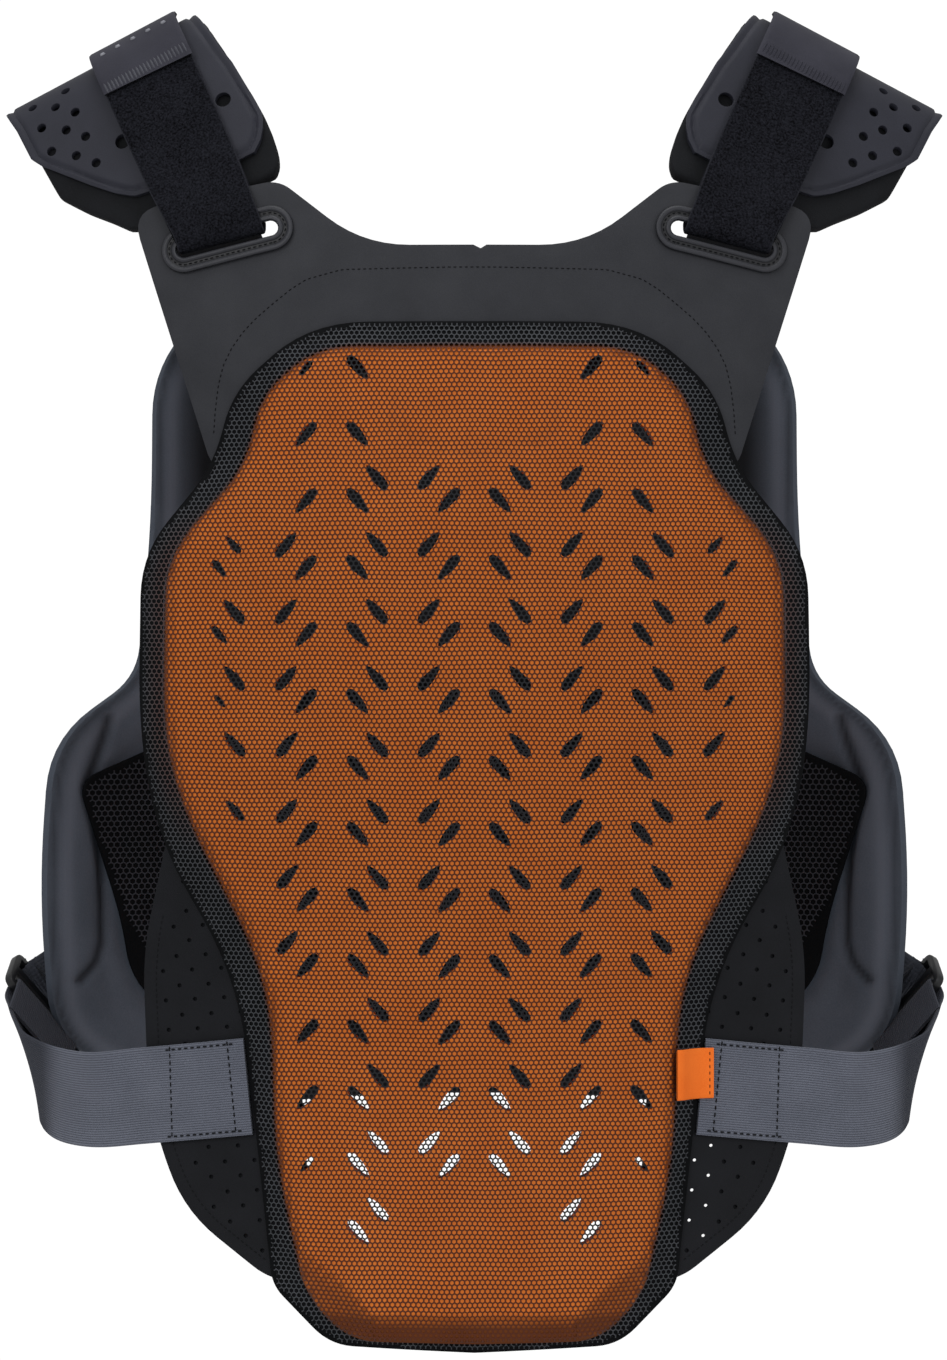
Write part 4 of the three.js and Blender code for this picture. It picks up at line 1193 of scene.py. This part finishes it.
def panel_inside(x, z):
    d = edge_distance(x, z, PANEL)
    roll = 1.6 * np.sqrt(np.clip(d / 3.0, 0, 1)) - 1.6
    lobe = ease(-z, 350, 385) * (1 - ease(-z, 470, 505))
    band = (1.2 + 1.6 * lobe) * np.sin(np.pi * np.clip((d - 1) / 27, 0, 1)) ** 0.8
    crease = 2.2 * np.exp(-(line_distance(np.abs(x), z, CREASE) / 2.8) ** 2)
    return -(roll + band - crease)


def panel_outside(x, z):
    d = edge_distance(x, z, PANEL)
    return PANEL_THICK - 1.2 * (1 - np.sqrt(np.clip(d / 3.0, 0, 1))) - 1.0 * np.exp(-((d - 18) / 2.0) ** 2)


panel = cut_sheet("panel", PANEL, 2.4)
x, y, z = read_points(panel).T
inside = edge_distance(x, z, PANEL)
drape(panel, on_front, panel_inside, panel_outside)
# A painted shadow of the yoke beside its edge, and the middle of the inner face painted near black.
past_yoke = np.abs(x) - 1.06 * np.interp(z, (-204, -77), (137, 178))
shade = 0.45 * (1 - ease(past_yoke, 0, 13)) * (1 - ease(-z, 190, 280))
mark(panel, "lined", np.maximum(1 - ease(np.abs(x), 150, 176), shade) * (y < SLAB / 2))
# Painted highlight along the rolled edge, about 8 mm in from it.
mark(panel, "rim", np.exp(-((inside - 8) / 3.6) ** 2))
# Painted shade: a thin dark line just inside the outer edge and along the crease.
edge_shade_line = 0.7 * np.exp(-((inside - 1.5) / 1.8) ** 2)
crease_shade_line = np.exp(-(line_distance(np.abs(x), z, CREASE) / 2.5) ** 2) * (y < SLAB / 2)
mark(panel, "crease", np.maximum(edge_shade_line, crease_shade_line))
smooth(panel, 45)
declare(panel, PANEL_FOAM, "panel", "front_panel")
print("panel faces:", len(panel.data.polygons))

# %% [markdown]
# A black spacer mesh lines the panel: a plain cloth, and on it the same kind of open net as on the
# pocket.

# %% Lining
LINING = outline([(0, -320), (100, -322, 30), (217, -375, 12), (194, -450, 20), (189, -482, 14),
                  (165, -508, 20), (0, -510)])
MESH = outline([(0, -322), (100, -324, 30), (215, -376.5, 10), (212, -390, 6), (194, -446, 12),
                (160, -506, 8), (0, -508)])


def on_lining(x, z, h):
    return on_front(x, z, h, -1.4)


lining = cut_sheet("lining", LINING, 6.0)
x, y, z = read_points(lining).T
write_points(lining, on_lining(x, z, -5.0 + 2.0 * y / SLAB))
soften(lining, 0.5)
smooth(lining)
declare(lining, LINING_CLOTH, "lining", "front_lining")
mesh, mesh_cover = hex_net("lining_mesh", 3.3, lambda x, z: np.full_like(x, 0.7),
                           lambda x, z: edge_distance(x, z, MESH) > 0, lambda x, z: on_lining(x, z, -5.5))
edit(mesh, bpy.ops.mesh.flip_normals)
declare(mesh, LINING_YARN, "lining")
print("lining mesh faces:", len(mesh.data.polygons))

# %% [markdown]
# ## Tag
# A small bare orange tag is sewn in at the right of the waist and stands off the pocket.

# %% Tag
TAG = [(123.5, 6.8), (116.5, 7), (111, 11), (107, 16.6), (104, 18)]
TAG_WIDE = 26
tag_points = np.array([on_back(x, -523.0, h) for x, h in TAG]) / MM
tag_across = np.tile((0.0, 0.0, 1.0), (len(TAG), 1))
tag, tag_path, tag_up = ribbon("tag", tag_points, tag_across, 24, 1.0, TAG_WIDE, 1.2)
declare(tag, TAG_CLOTH, "tag", "label_tag")
tag_out = tag_up * (1 if tag_up[0][1] < 0 else -1)
tag_seam = seam_on(tag_path, tag_out, TAG_WIDE, (-0.92, 0.92), 0.08, 0.08, 0.65)
stitches("tag_seam", *tag_seam, "tag", length=2.0, gap=1.4, width=0.5)
print("tag faces:", len(tag.data.polygons))

# %% [markdown]
# ## Studio
# The photo is a product shot on white under broad soft light, taken square on at half height with a
# long lens. A pale floor lies below the picture, and the world is white. The lens is the one that shows
# the picture's height at the distance of the back.

# %% Floor, lights and camera
bpy.ops.object.select_all(action="DESELECT")
bpy.ops.mesh.primitive_plane_add(size=1.5, location=(0, 0, -0.8))
floor = bpy.context.object
floor.name = "floor"
floor.data.materials.append(finish("floor_paint", (238, 238, 238), (244, 244, 244), grain=200, depth=0.01))

world = bpy.data.worlds.new("studio")
world.use_nodes = True
bpy.context.scene.world = world
tree = world.node_tree
ray = add_node(tree, "LightPath", {})["Is Camera Ray"]
level = add_node(tree, "MapRange", {"Value": ray, "To Min": 0.62, "To Max": 1.05})[0]
sky = tree.nodes["Background"].inputs
feed(tree, sky["Strength"], level)
feed(tree, sky["Color"], (1, 1, 1, 1))


def lamp(name, place, aim, size, power):
    bpy.ops.object.light_add(type="AREA", location=place)
    light = bpy.context.object
    light.name = name
    light.data.size = size
    light.data.energy = power
    light.rotation_euler = (Vector(aim) - Vector(place)).to_track_quat("-Z", "Y").to_euler()


lamp("key", (-1.3, -2.2, 1.2), (0, 0, -0.3), 1.6, 24)
lamp("fill", (1.7, -2.0, 0.2), (0, 0, -0.35), 1.8, 12)
lamp("top", (0, -0.2, 1.6), (0, 0, -0.2), 1.2, 12)

bpy.ops.object.camera_add(location=(-0.0005, -2.74, -0.32), rotation=(math.pi / 2, 0, 0))
camera = bpy.context.object
SENSOR, BACK_AWAY, PICTURE_HIGH = 36, 2.6, 0.688
camera.data.lens = SENSOR * BACK_AWAY / PICTURE_HIGH
bpy.context.scene.camera = camera
bpy.context.scene.view_settings.view_transform = "Standard"
print("camera distance:", round(-camera.location.y, 2), "lens:", round(camera.data.lens, 1))
